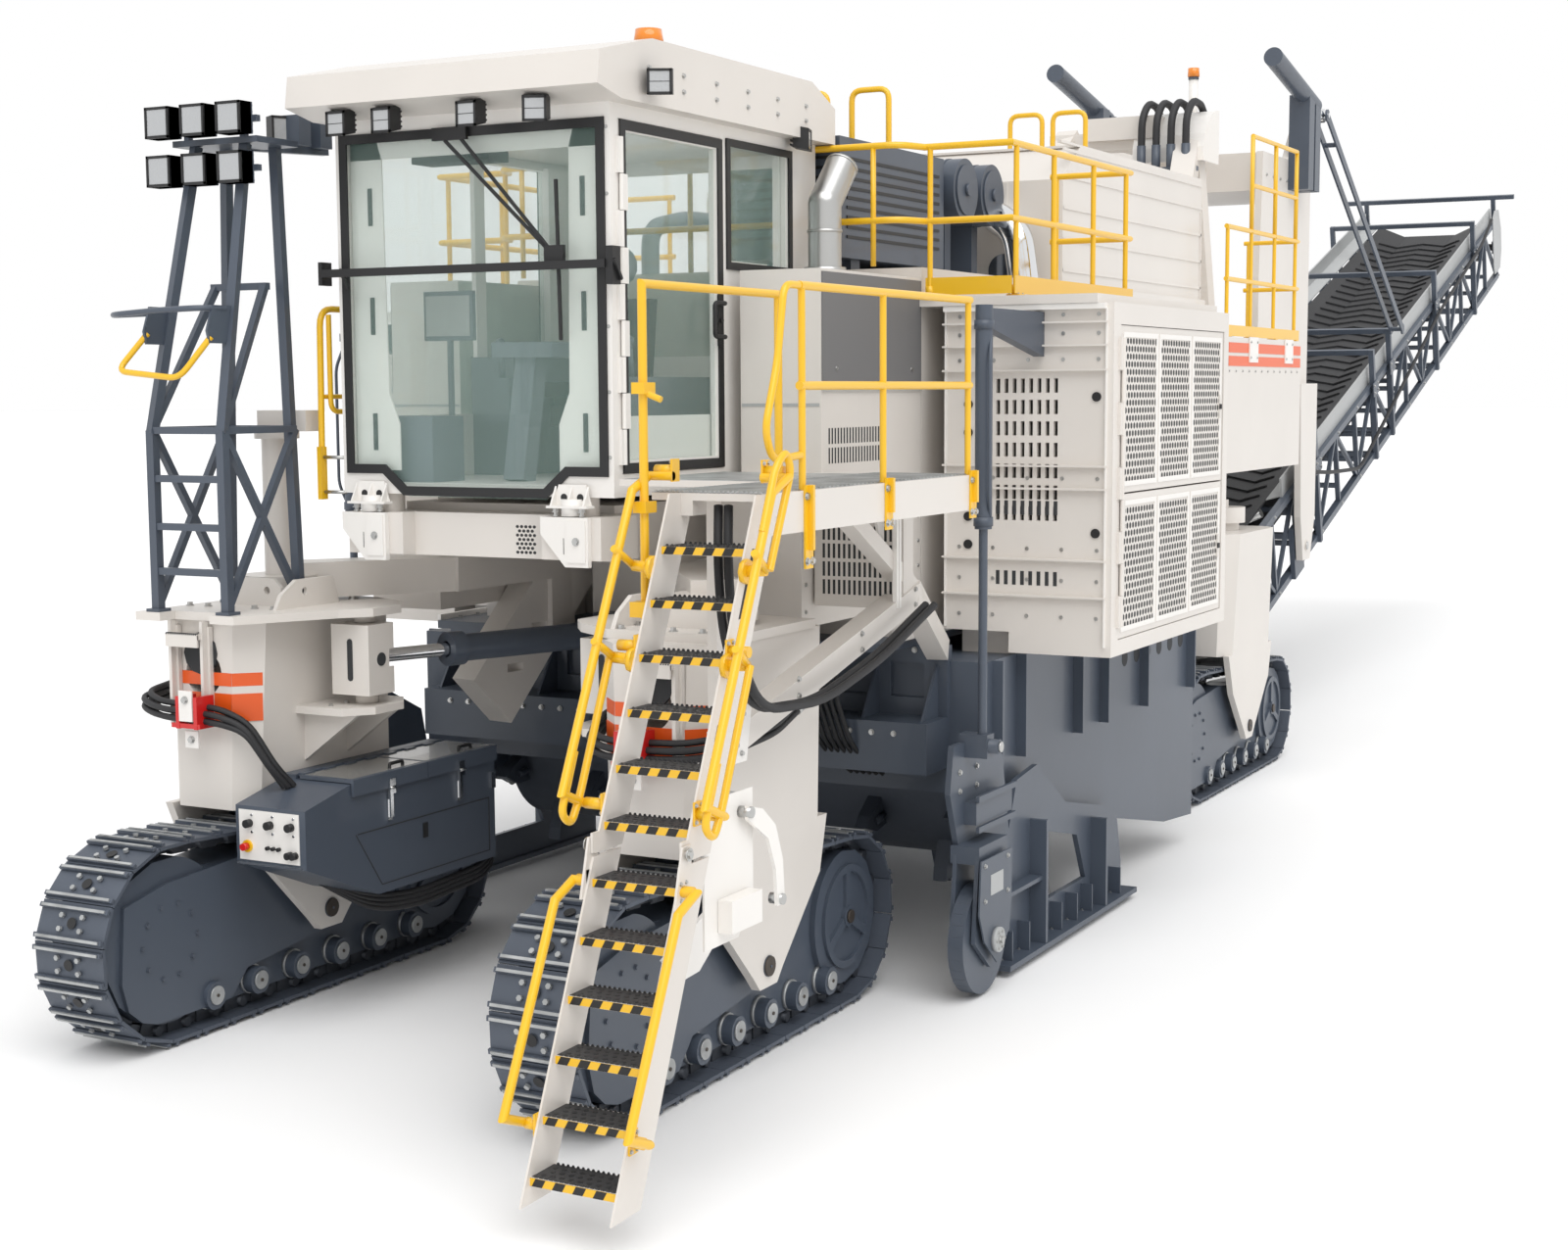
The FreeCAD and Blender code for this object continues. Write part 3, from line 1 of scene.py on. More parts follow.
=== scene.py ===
"""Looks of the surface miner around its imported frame: camera, light, finishes and fittings.

Places along the machine are written as stations, in metres from the foot of the boarding
ladder and negative rearwards; st() turns one into the frame's X.
"""
import json
from math import atan, cos, pi, radians, sin

import bpy
from mathutils import Matrix, Vector


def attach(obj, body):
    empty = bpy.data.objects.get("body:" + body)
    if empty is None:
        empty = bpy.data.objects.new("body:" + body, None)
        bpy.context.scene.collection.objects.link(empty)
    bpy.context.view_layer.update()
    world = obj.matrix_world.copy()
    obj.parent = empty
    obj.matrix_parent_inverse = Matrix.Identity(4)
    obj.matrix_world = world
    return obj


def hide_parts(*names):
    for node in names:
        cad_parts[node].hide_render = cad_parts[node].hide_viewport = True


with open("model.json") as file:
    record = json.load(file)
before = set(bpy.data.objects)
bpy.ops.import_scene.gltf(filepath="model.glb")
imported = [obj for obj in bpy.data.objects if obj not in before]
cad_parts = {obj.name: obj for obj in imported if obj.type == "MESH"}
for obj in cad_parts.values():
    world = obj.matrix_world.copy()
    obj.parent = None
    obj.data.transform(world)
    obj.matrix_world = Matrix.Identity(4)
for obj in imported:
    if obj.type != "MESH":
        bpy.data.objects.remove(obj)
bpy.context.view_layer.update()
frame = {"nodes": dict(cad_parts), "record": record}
nodes = frame["nodes"]

UP, AHEAD = (0, 0, 1), (1, 0, 0)
LADDER_FOOT = 16.429                 # frame X of the ladder's foot
FRONT_PIN, REAR_PIN = -3.05, -13.7   # stations of the king pins
TRACK_Y = 1.7                        # middle of a track, from the machine's middle
DRUM_X, DRUM_Z = -6.9, 1.18          # axis of the drum
WHEEL_X, WHEEL_Z = -5.0, 0.4         # axis of the gauge wheels
SIDES = (("left", 1), ("right", -1))


def st(station):
    return station + LADDER_FOOT


# ------------------------------------------------------------------ finishes
def finish_of(name, color, rough=0.45, metal=0.0, coat=0.0, grain=0.0, grain_scale=8.0,
              patch=0.0, patch_scale=0.8, transmission=0.0, alpha=1.0):
    """Painted or bare surface: uneven in tone by patch, and in polish by grain."""
    mat = bpy.data.materials.new(name)
    mat.use_nodes = True
    tree = mat.node_tree
    bsdf = tree.nodes["Principled BSDF"]
    for socket, value in (("Base Color", (*color, 1)), ("Roughness", rough), ("Metallic", metal),
            ("Coat Weight", coat), ("Transmission Weight", transmission), ("Alpha", alpha)):
        bsdf.inputs[socket].default_value = value
    coords = tree.nodes.new("ShaderNodeTexCoord")

    def noise_of(scale, detail):
        noise = tree.nodes.new("ShaderNodeTexNoise")
        noise.inputs["Scale"].default_value = scale
        noise.inputs["Detail"].default_value = detail
        tree.links.new(coords.outputs["Object"], noise.inputs["Vector"])
        return noise.outputs["Fac"]

    if patch:
        ramp = tree.nodes.new("ShaderNodeValToRGB")
        for stop, place, change in zip(ramp.color_ramp.elements, (0.3, 0.7), (-patch, patch)):
            stop.position = place
            stop.color = (*(min(1, c * (1 + change)) for c in color), 1)
        tree.links.new(noise_of(patch_scale, 6), ramp.inputs["Fac"])
        tree.links.new(ramp.outputs["Color"], bsdf.inputs["Base Color"])
    if grain:
        bump = tree.nodes.new("ShaderNodeBump")
        bump.inputs["Strength"].default_value = grain
        bump.inputs["Distance"].default_value = 0.01
        tree.links.new(noise_of(grain_scale, 4), bump.inputs["Height"])
        tree.links.new(bump.outputs["Normal"], bsdf.inputs["Normal"])
    return mat


BEIGE = finish_of("beige", (0.72, 0.68, 0.635), 0.42, coat=0.15, grain=0.05, patch=0.03)
WHITE = finish_of("white", (0.85, 0.825, 0.79), 0.38, coat=0.2, grain=0.04, patch=0.02)
SLATE = finish_of("slate", (0.068, 0.084, 0.112), 0.42, coat=0.1, grain=0.06, patch=0.08)
TRACK = finish_of("track", (0.085, 0.100, 0.128), 0.5, metal=0.2, grain=0.25, grain_scale=20, patch=0.2)
WORN = finish_of("worn", (0.42, 0.43, 0.43), 0.42, metal=0.6, grain=0.2, grain_scale=30, patch=0.25,
    patch_scale=6)
GREY = finish_of("grey", (0.42, 0.43, 0.43), 0.45, grain=0.05, patch=0.04)
YELLOW = finish_of("yellow", (0.86, 0.50, 0.012), 0.33, coat=0.3)
ORANGE = finish_of("orange", (0.80, 0.105, 0.008), 0.4, coat=0.2)
RED = finish_of("red", (0.62, 0.012, 0.012), 0.35, coat=0.3)
BLACK = finish_of("black", (0.012, 0.012, 0.013), 0.5)
RUBBER = finish_of("rubber", (0.018, 0.018, 0.020), 0.62, grain=0.1, grain_scale=60)
CHROME = finish_of("chrome", (0.74, 0.75, 0.76), 0.12, metal=1.0)
STEEL = finish_of("steel", (0.48, 0.48, 0.47), 0.3, metal=0.9, grain=0.05, grain_scale=40)
IRON = finish_of("iron", (0.05, 0.05, 0.05), 0.6, metal=0.3, grain=0.2)
SEAT = finish_of("seat", (0.02, 0.02, 0.022), 0.85, grain=0.3, grain_scale=80)
GRATE = finish_of("grate", (0.060, 0.060, 0.062), 0.55, metal=0.5, grain=0.2, grain_scale=50)
AMBER = finish_of("amber", (0.85, 0.25, 0.01), 0.2, coat=0.5)
LENS = finish_of("lens", (0.46, 0.47, 0.48), 0.25, metal=0.3, coat=0.6, grain=0.3, grain_scale=60)
GLASS = finish_of("glass", (0.46, 0.66, 0.59), 0.02, transmission=0.3, alpha=0.16)
CHAIN = finish_of("chain", (0.055, 0.062, 0.075), 0.5, metal=0.4, grain=0.2, grain_scale=25)
PIN_GREY = finish_of("pin grey", (0.075, 0.062, 0.052), 0.5, metal=0.5)
# lighter grey laid over the tops of the slate toolbox lids: a painted sheen
LID_PAINTED_SHEEN = finish_of("lid", (0.30, 0.30, 0.29), 0.25, metal=0.3, coat=0.4)
SHADE = finish_of("shade", (0.035, 0.037, 0.04), 0.8)
CLOTH = finish_of("cloth", (0.05, 0.05, 0.055), 0.9)
CONSOLE = finish_of("console", (0.16, 0.185, 0.21), 0.6)
RADIATOR = finish_of("radiator", (0.17, 0.168, 0.17), 0.6)

SLOT_FINISH = {"beige_paint": BEIGE, "white_paint": WHITE, "slate_paint": SLATE, "track_steel": TRACK,
    "grey_paint": GREY, "yellow_paint": YELLOW, "chrome_rod": CHROME, "polished_steel": STEEL,
    "engine_iron": IRON, "glass": GLASS, "seat_fabric": SEAT, "belt_rubber": RUBBER}
for part in frame["record"]["subparts"]:
    for slot in nodes[part["node"]].material_slots:
        slot.material = SLOT_FINISH[part["material_slot"]]

# slot of the frame that a finish usually belongs to
USUAL_SLOT = {finish: slot for slot, finishes in (("beige_paint", (STEEL, SHADE, ORANGE, BEIGE, GRATE)),
    ("belt_rubber", (BLACK, RUBBER)), ("chrome_rod", (CHROME,)), ("glass", (AMBER, LENS)),
    ("grey_paint", (GREY, RED, RADIATOR)), ("seat_fabric", (CONSOLE, CLOTH)),
    ("slate_paint", (SLATE, LID_PAINTED_SHEEN)), ("track_steel", (WORN, TRACK, CHAIN, PIN_GREY)),
    ("white_paint", (WHITE,)), ("yellow_paint", (YELLOW,))) for finish in finishes}


# ------------------------------------------------------------------ shapes
class Batch:
    """Many small solids of one finish on one body, which become one mesh at the end."""
    made = []

    def __init__(self, name, finish, body="chassis", slot=None):
        self.name = name.replace(" ", "_")
        self.finish, self.body, self.slot = finish, body, slot or USUAL_SLOT[finish]
        self.verts, self.faces, self.round = [], [], []
        Batch.made.append(self)

    def add(self, verts, faces, smooth=False):
        start = len(self.verts)
        self.verts += [tuple(v) for v in verts]
        self.faces += [tuple(start + i for i in f) for f in faces]
        self.round += [smooth] * len(faces)

    def box(self, x0, x1, y0, y1, z0, z1):
        (x0, x1), (y0, y1), (z0, z1) = sorted((x0, x1)), sorted((y0, y1)), sorted((z0, z1))
        self.hexa([(x0, y0, z0), (x1, y0, z0), (x1, y1, z0), (x0, y1, z0), (x0, y0, z1), (x1, y0, z1),
            (x1, y1, z1), (x0, y1, z1)])

    def boxes(self, *rows):
        for row in rows:
            self.box(*row)

    def hexa(self, corners):
        self.add(corners, [(0, 3, 2, 1), (4, 5, 6, 7), (0, 1, 5, 4), (1, 2, 6, 5), (2, 3, 7, 6),
            (3, 0, 4, 7)])

    def prism(self, points, axis, low, high):
        """Polygon across an axis, as (x, z) for y, (y, z) for x and (x, y) for z."""
        lift = {"x": lambda a, b, t: (t, a, b), "y": lambda a, b, t: (a, t, b), "z": lambda a, b,
            t: (a, b, t)}[axis]
        area = sum(p[0] * q[1] - q[0] * p[1] for p, q in zip(points, points[1:] + points[:1]))
        if (area > 0) == (axis == "y"):
            points = points[::-1]
        n = len(points)
        verts = [lift(a, b, low) for a, b in points] + [lift(a, b, high) for a, b in points]
        faces = [tuple(reversed(range(n))), tuple(range(n, 2 * n))]
        faces += [(i, (i + 1) % n, n + (i + 1) % n, n + i) for i in range(n)]
        self.add(verts, faces)

    def across(self, along):
        """Sideways and upward directions across a run, whatever its slope."""
        along = along.normalized()
        side = along.cross(Vector(UP))
        if side.length < 1e-4:
            side = Vector((0, 1, 0))
        side.normalize()
        return side, side.cross(along).normalized()

    def beam(self, a, b, width, height):
        a, b = Vector(a), Vector(b)
        side, up = self.across(b - a)
        s, u = side * width / 2, up * height / 2
        self.hexa([a - s - u, b - s - u, b + s - u, a + s - u, a - s + u, b - s + u, b + s + u,
            a + s + u])

    def rings(self, rows, n, smooth=True):
        """Wall between rows of n points each, which run round one after another."""
        walls = [(i * n + k, i * n + (k + 1) % n, (i + 1) * n + (k + 1) % n, (i + 1) * n + k)
            for i in range(len(rows) - 1) for k in range(n)]
        self.add([v for row in rows for v in row], walls, smooth)

    def cyl(self, a, b, radius, n=16, top=None, smooth=True):
        a, b = Vector(a), Vector(b)
        side, up = self.across(b - a)
        turns = [2 * pi * k / n for k in range(n)]
        low, high = ([c + side * r * cos(t) + up * r * sin(t) for t in turns]
            for c, r in ((a, radius), (b, radius if top is None else top)))
        start = len(self.verts)
        self.rings([low, high], n, smooth)
        self.faces += [tuple(start + k for k in reversed(range(n))),
            tuple(start + n + k for k in range(n))]
        self.round += [False, False]

    def rod(self, x, y, z, radius, n=16, top=None, smooth=True):
        """Cylinder along one axis, whose place is given as a pair: from, to."""
        ends = [[v[i] if isinstance(v, tuple) else v for v in (x, y, z)] for i in (0, 1)]
        self.cyl(*ends, radius, n, top, smooth)

    def tube(self, points, radius, n=10, bend=0.12, steps=6):
        """Round tube through its corners, each corner turned on an arc."""
        path = smooth_path([Vector(p) for p in points], bend, steps)
        rings = []
        side = None
        for i, p in enumerate(path):
            ahead = path[min(i + 1, len(path) - 1)] - path[max(i - 1, 0)]
            ahead.normalize()
            if side is None:
                side = ahead.orthogonal().normalized()
            side = (side - ahead * side.dot(ahead)).normalized()
            up = ahead.cross(side)
            rings.append([p + side * radius * cos(2 * pi * k / n) + up * radius * sin(2 * pi * k / n)
                for k in range(n)])
        self.rings(rings, n)
        self.add(rings[0], [tuple(reversed(range(n)))])
        self.add(rings[-1], [tuple(range(n))])

    def ball(self, centre, radius, n=12, squash=1.0):
        rows = n // 2
        verts = []
        for i in range(rows + 1):
            a = pi * i / rows
            for k in range(n):
                b = 2 * pi * k / n
                verts.append((centre[0] + radius * sin(a) * cos(b), centre[1] + radius * sin(a) * sin(b),
                    centre[2] + radius * squash * cos(a)))
        faces = []
        for i in range(rows):
            for k in range(n):
                a, b = i * n + k, i * n + (k + 1) % n
                faces.append((a, a + n, b + n, b))
        self.add(verts, faces, True)

    def bolt(self, at, normal, radius, height):
        """Hexagon head on a flat washer."""
        at, normal = Vector(at), Vector(normal).normalized()
        self.cyl(at, at + normal * height * 0.25, radius * 1.35, 10, smooth=False)
        self.cyl(at + normal * height * 0.25, at + normal * height, radius, 6, smooth=False)

    def emit(self):
        mesh = bpy.data.meshes.new(self.name)
        mesh.from_pydata([(st(x), y, z) for x, y, z in self.verts], [], self.faces)
        mesh.polygons.foreach_set("use_smooth", self.round)
        mesh.validate()
        mesh.materials.append(self.finish)
        obj = bpy.data.objects.new(self.name, mesh)
        bpy.context.scene.collection.objects.link(obj)
        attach(obj, self.body)
        return obj


def regular(n, y, z, radius, start=0.0, squash=1.0):
    """Corners of a regular polygon, its first one at an angle in degrees."""
    turns = [radians(start + 360 / n * k) for k in range(n)]
    return [(y + radius * cos(t), z + radius * squash * sin(t)) for t in turns]


def corners(across, along):
    """Four corners of a rectangle, row by row."""
    return [(a, b) for b in along for a in across]


def spaced(start, step, count):
    return [start + step * k for k in range(count)]


def smooth_path(points, bend, steps):
    out = [points[0]]
    for a, p, b in zip(points, points[1:], points[2:]):
        back, ahead = (a - p), (b - p)
        cut = min(bend, back.length * 0.45, ahead.length * 0.45)
        start, end = p + back.normalized() * cut, p + ahead.normalized() * cut
        for k in range(steps + 1):
            t = k / steps
            out.append(start * (1 - t) ** 2 + p * 2 * t * (1 - t) + end * t ** 2)
    out.append(points[-1])
    return out


# ------------------------------------------------------------------ camera, light, floor
CAMERA_AT = (8.355, 8.184, 4.101)    # station, place across and height


def make_camera():
    yaw, pitch, roll = radians(207.79), radians(-6.175), -5.344e-3
    ahead = Vector((cos(yaw) * cos(pitch), sin(yaw) * cos(pitch), sin(pitch)))
    right = ahead.cross(Vector(UP)).normalized()
    up = right.cross(ahead)
    side = right * cos(roll) + up * sin(roll)
    top = up * cos(roll) - right * sin(roll)
    data = bpy.data.cameras.new("camera")
    data.lens = 49.66
    data.sensor_width = 36
    data.sensor_fit = "HORIZONTAL"
    data.clip_end = 500
    camera = bpy.data.objects.new("camera", data)
    camera.matrix_world = Matrix(((side.x, top.x, -ahead.x, st(CAMERA_AT[0])),
        (side.y, top.y, -ahead.y, CAMERA_AT[1]), (side.z, top.z, -ahead.z, CAMERA_AT[2]), (0, 0, 0, 1)))
    bpy.context.scene.collection.objects.link(camera)
    bpy.context.scene.camera = camera


def make_sun():
    """One broad, soft light from high on the camera's side."""
    data = bpy.data.lights.new("sun", "SUN")
    data.energy = 1.9
    data.angle = radians(60)
    sun = bpy.data.objects.new("sun", data)
    sun.rotation_euler = Vector((-0.45, -0.42, -0.95)).to_track_quat("-Z", "Y").to_euler()
    bpy.context.scene.collection.objects.link(sun)


def make_stage():
    """White ground that shows as white to the camera and still takes the shadow."""
    mesh = bpy.data.meshes.new("floor")
    reach = 400
    mesh.from_pydata([(x * reach, y * reach, -0.002) for x, y in ((-1, -1), (1, -1), (1, 1), (-1, 1))],
        [], [(0, 1, 2, 3)])
    floor = bpy.data.objects.new("floor", mesh)
    bpy.context.scene.collection.objects.link(floor)
    mat = bpy.data.materials.new("floor")
    mat.use_nodes = True
    paint = mat.node_tree.nodes["Principled BSDF"].inputs
    paint["Base Color"].default_value = (0.95, 0.95, 0.95, 1)
    paint["Roughness"].default_value = 0.9
    mesh.materials.append(mat)
    world = bpy.data.worlds.new("world")
    bpy.context.scene.world = world
    world.use_nodes = True
    tree = world.node_tree
    back = tree.nodes["Background"]
    back.inputs["Color"].default_value = (1, 1, 1, 1)
    path = tree.nodes.new("ShaderNodeLightPath")
    seen = path.outputs["Is Camera Ray"]
    for kind in ("Is Glossy Ray", "Is Transmission Ray"):
        either = tree.nodes.new("ShaderNodeMath")
        either.operation = "MAXIMUM"
        tree.links.new(seen, either.inputs[0])
        tree.links.new(path.outputs[kind], either.inputs[1])
        seen = either.outputs[0]
    level = tree.nodes.new("ShaderNodeMapRange")
    level.inputs["To Min"].default_value = 0.72
    level.inputs["To Max"].default_value = 1.0
    tree.links.new(seen, level.inputs["Value"])
    tree.links.new(level.outputs["Result"], back.inputs["Strength"])


make_camera()
make_stage()
make_sun()
bpy.context.scene.view_settings.view_transform = "Standard"

# ------------------------------------------------------------------ tracks
FRONT_R, REAR_R, AXLES = 0.64, 0.56, 2.8
SHOES, SHOE_W, GROUSER = 36, 0.56, 0.028


def round_the_wheels():
    """Way once round drive wheel and idler: distance to place and outward normal."""
    slope = 2 * atan((FRONT_R - REAR_R) / AXLES)
    front_arc = FRONT_R * (pi + slope)
    total = 2 * AXLES + front_arc + REAR_R * (pi - slope)
    up = pi / 2 + slope

    def at(distance):
        d = distance % total
        if d < AXLES:
            return -AXLES + d, 0, 0, -1
        d -= AXLES
        if d < front_arc:
            a = -pi / 2 + d / FRONT_R
            return FRONT_R * cos(a), FRONT_R * (1 + sin(a)), cos(a), sin(a)
        d -= front_arc
        if d < AXLES:
            nx, nz = cos(up), sin(up)
            return FRONT_R * nx - d * nz, FRONT_R * (1 + nz) + d * nx, nx, nz
        a = up + (d - AXLES) / REAR_R
        return (-AXLES + REAR_R * cos(a), REAR_R * (1 + sin(a)), cos(a), sin(a))

    return at, total


def dress_track(end, side, pin_x, y0):
    """Shoes with two bars each, four bolts and a mud hole, over a linked chain."""
    body = "crawler_%s_%s" % (end, side)
    at, total = round_the_wheels()
    pitch = total / SHOES
    plates = Batch("shoes %s %s" % (end, side), TRACK, body)
    bars = Batch("shoe bars %s %s" % (end, side), WORN, body)
    chain = Batch("chain %s %s" % (end, side), CHAIN, body)
    bolts = Batch("shoe bolts %s %s" % (end, side), WORN, body)
    holes = Batch("shoe holes %s %s" % (end, side), BLACK, body, slot="track_steel")

    def place(distance, height):
        x, z, nx, nz = at(distance)
        return pin_x + AXLES / 2 + x + nx * height, z + GROUSER + nz * height

    def block(batch, k, start, stop, low, high, y_low, y_high):
        corners = [place((k + start) * pitch, low), place((k + stop) * pitch, low),
            place((k + stop) * pitch, high), place((k + start) * pitch, high)]
        batch.prism(corners, "y", y0 + y_low, y0 + y_high)

    def stud(batch, k, share, y, low, high, radius, n):
        a, b = place((k + share) * pitch, low), place((k + share) * pitch, high)
        batch.cyl((a[0], y0 + y, a[1]), (b[0], y0 + y, b[1]), radius, n, smooth=False)

    half = SHOE_W / 2
    for k in range(SHOES):
        block(plates, k, 0.012, 0.988, -0.024, -0.001, -half, half)
        for share in (0.13, 0.84):
            block(plates, k, share - 0.05, share + 0.06, -0.002, 0.018, -half, half)
            block(bars, k, share - 0.03, share + 0.035, 0.017, 0.0275, -half + 0.02, half - 0.02)
        for share in (0.34, 0.66):
            for y in (-0.085, 0.085):
                stud(bolts, k, share, y, -0.002, 0.016, 0.018, 6)
        # black disc on each shoe stands in for its mud hole: painted shade inside the opening
        stud(holes, k, 0.5, 0, -0.001, 0.0008, 0.036, 14)
        for y in (-0.13, 0.09):
            block(chain, k, 0.0, 0.58, -0.108, -0.022, y, y + 0.04)
            block(chain, k, 0.45, 1.02, -0.096, -0.03, y + 0.012, y + 0.03)
        a = place(k * pitch, -0.062)
        chain.rod(a[0], (y0 - 0.16, y0 + 0.16), a[1], 0.034, 10)

    caps = Batch("roller caps %s %s" % (end, side), WORN, body)
    plugs = Batch("pin plugs %s %s" % (end, side), PIN_GREY, body)
    lines = Batch("drive bolts %s %s" % (end, side), TRACK, body)
    for sign in (1, -1):
        for step in range(6):
            x = pin_x - AXLES / 2 + 0.33 + step * (AXLES - 0.7) / 5
            face = y0 + sign * 0.25
            caps.rod(x, (face, face + sign * 0.012), 0.23, 0.062, 20)
            plugs.rod(x, (face, face + sign * 0.018), 0.23, 0.012, 8)
            caps.rod(x, (y0 + sign * 0.15, y0 + sign * 0.175), 0.23, 0.1, 20)
        plugs.rod(pin_x, (y0 + sign * 0.354, y0 + sign * 0.372), 0.6, 0.062, 24)
        lines.rod(pin_x, (y0 + sign * 0.37, y0 + sign * 0.378), 0.6, 0.009, 8)
        hub_y = y0 + sign * 0.224
        plugs.rod(pin_x - AXLES / 2, (hub_y, hub_y + sign * 0.016), 0.588, 0.045, 16)
        for x, z in regular(10, pin_x + AXLES / 2, 0.668, 0.24):
            lines.bolt((x, y0 + sign * 0.22, z), (0, sign, 0), 0.014, 0.014)


# ------------------------------------------------------------------ columns
def dress_column(side, out):
    """Stripes, step frame, hoses and bolts round a front column; out points off the machine."""
    body = "crawler_front_" + side
    x0, y0 = FRONT_PIN, out * TRACK_Y

    def face(z):
        """Station of the casing's front at a height."""
        return x0 + 0.8 - (z - 1.4) * 0.03 / 1.24

    orange = Batch("column stripes " + side, ORANGE, body)
    plate = Batch("column step frame " + side, BEIGE, body)
    dark = Batch("column openings " + side, SHADE, body)
    steel = Batch("column bolts " + side, STEEL, body)
    for low, high in ((2.215, 2.3), (1.985, 2.165)):
        orange.hexa([(face(z) + lift, y0 + y, z) for z in (low, high)
            for lift, y in ((0.001, -0.235), (0.004, -0.235), (0.004, 0.235), (0.001, 0.235))])
        for turn in (1, -1):
            y_a, y_b = y0 + turn * 0.24, y0 + turn * 0.375
            orange.prism([(face(low) - 0.002, y_a), (face(low) + 0.003, y_a),
                (face(low) - 0.135, y_b + turn * 0.004), (face(low) - 0.14, y_b)], "z", low, high)
    for y in (y0 + out * 0.21, y0 - out * 0.06):
        plate.boxes((face(2) + 0.02, face(2) + 0.075, y - 0.012, y + 0.012, 1.95, 2.638),
            (face(2) - 0.002, face(2) + 0.03, y - 0.03, y + 0.03, 1.95, 2.6))
    low_y, high_y = sorted((y0 + out * 0.21, y0 - out * 0.06))
    plate.boxes((face(2.5) + 0.01, face(2.5) + 0.12, low_y, high_y, 2.52, 2.55),
        (face(2.5) + 0.11, face(2.5) + 0.125, low_y, high_y, 2.47, 2.556))
    for k in range(16):
        y = low_y + 0.01 + k * (high_y - low_y - 0.02) / 15
        dark.box(face(2.5) + 0.105, face(2.5) + 0.127, y - 0.004, y + 0.004, 2.55, 2.562)
    dark.rod((face(2.29) - 0.02, face(2.29) + 0.006), y0 + out * 0.02, 2.42, 0.14, 12, smooth=False)
    for dy in (-0.36, -0.2, 0.0, 0.2, 0.36):
        steel.bolt((x0 + 0.5, y0 + dy, 2.695), UP, 0.02, 0.024)
    for dx in (-0.3, -0.1, 0.1, 0.3):
        steel.bolt((x0 + dx, y0 - out * 0.36, 2.695), UP, 0.02, 0.024)
        steel.bolt((x0 + dx * 0.8, y0 - out * 0.6, 2.04), UP, 0.014, 0.016)
    inner = y0 - out * 0.8705
    dark.rod(x0 + 0.04, (inner, inner - out * 0.004), 2.345, 0.045, 20)
    slot = [(0.022 * cos(a) + y0 - out * 0.715, 2.345 + 0.022 * sin(a) + (0.12 if sin(a) > 0 else -0.12))
        for a in [radians(t) for t in (10, 50, 90, 130, 170, 190, 230, 270, 310, 350)]]
    dark.prism(slot, "x", x0 + 0.1705, x0 + 0.174)
    for z in (2.62, 2.075):
        plate.rod(x0, y0 - out * 0.71, (z - 0.035, z + 0.035), 0.075, 20)

    hoses = Batch("column hoses " + side, RUBBER, body)
    clamp = Batch("hose clamp plates " + side, WHITE, body)
    red = Batch("hose clamp " + side, RED, body)
    fittings = Batch("hose fittings " + side, STEEL, body, slot="polished_steel")
    for k in range(5):
        dz = (k // 2) * 0.05 + (k % 2) * 0.012
        reach = 0.035 * (k % 2)
        front = face(2) + 0.09 + reach
        start = (x0 - 0.1, y0 + out * (0.47 + reach), 2.16 + dz)
        path = [start, (x0 + 0.35, y0 + out * (0.56 + reach), 2.1 + dz * 0.8),
            (front - 0.1, y0 + out * (0.5 + reach), 2.04 + dz), (front, y0 + out * 0.3, 2.0 + dz),
            (front, y0 - out * 0.22, 1.98 + dz)]
        if side == "right":
            path += [(front - 0.06, y0 - out * 0.4, 1.93 + dz * 0.6),
                (front - 0.16, y0 - out * (0.5 + dz * 0.3), 1.7),
                (front - 0.24 - dz * 0.3, y0 - out * (0.55 + dz * 0.3), 1.56)]
        else:
            path += [(front - 0.15, y0 - out * 0.45, 2.0 + dz),
                (front - 0.6, y0 - out * 0.62, 2.05 + dz), (front - 1.1, y0 - out * 0.5, 2.12 + dz)]
        hoses.tube(path, 0.021, 8, 0.14, 5)
        fittings.cyl(start, (start[0] - 0.09, start[1], start[2] + 0.03), 0.026, 10)
    x = face(2) + 0.19
    red.boxes((face(2) + 0.04, x + 0.01, y0 + out * 0.03, y0 + out * 0.06, 1.95, 2.16),
        (face(2) + 0.04, x + 0.01, y0 - out * 0.09, y0 - out * 0.12, 1.95, 2.16),
        (x - 0.005, x + 0.008, y0 - out * 0.14, y0 + out * 0.1, 1.955, 1.985))
    clamp.boxes((x, x + 0.012, y0 - out * 0.08, y0 + out * 0.03, 2.0, 2.2),
        (x - 0.05, x - 0.038, y0 - out * 0.08, y0 + out * 0.03, 1.82, 1.93))
    fittings.bolt((x + 0.012, y0 - out * 0.025, 2.14), AHEAD, 0.02, 0.02)
    fittings.bolt((x - 0.038, y0 - out * 0.025, 1.875), AHEAD, 0.02, 0.02)


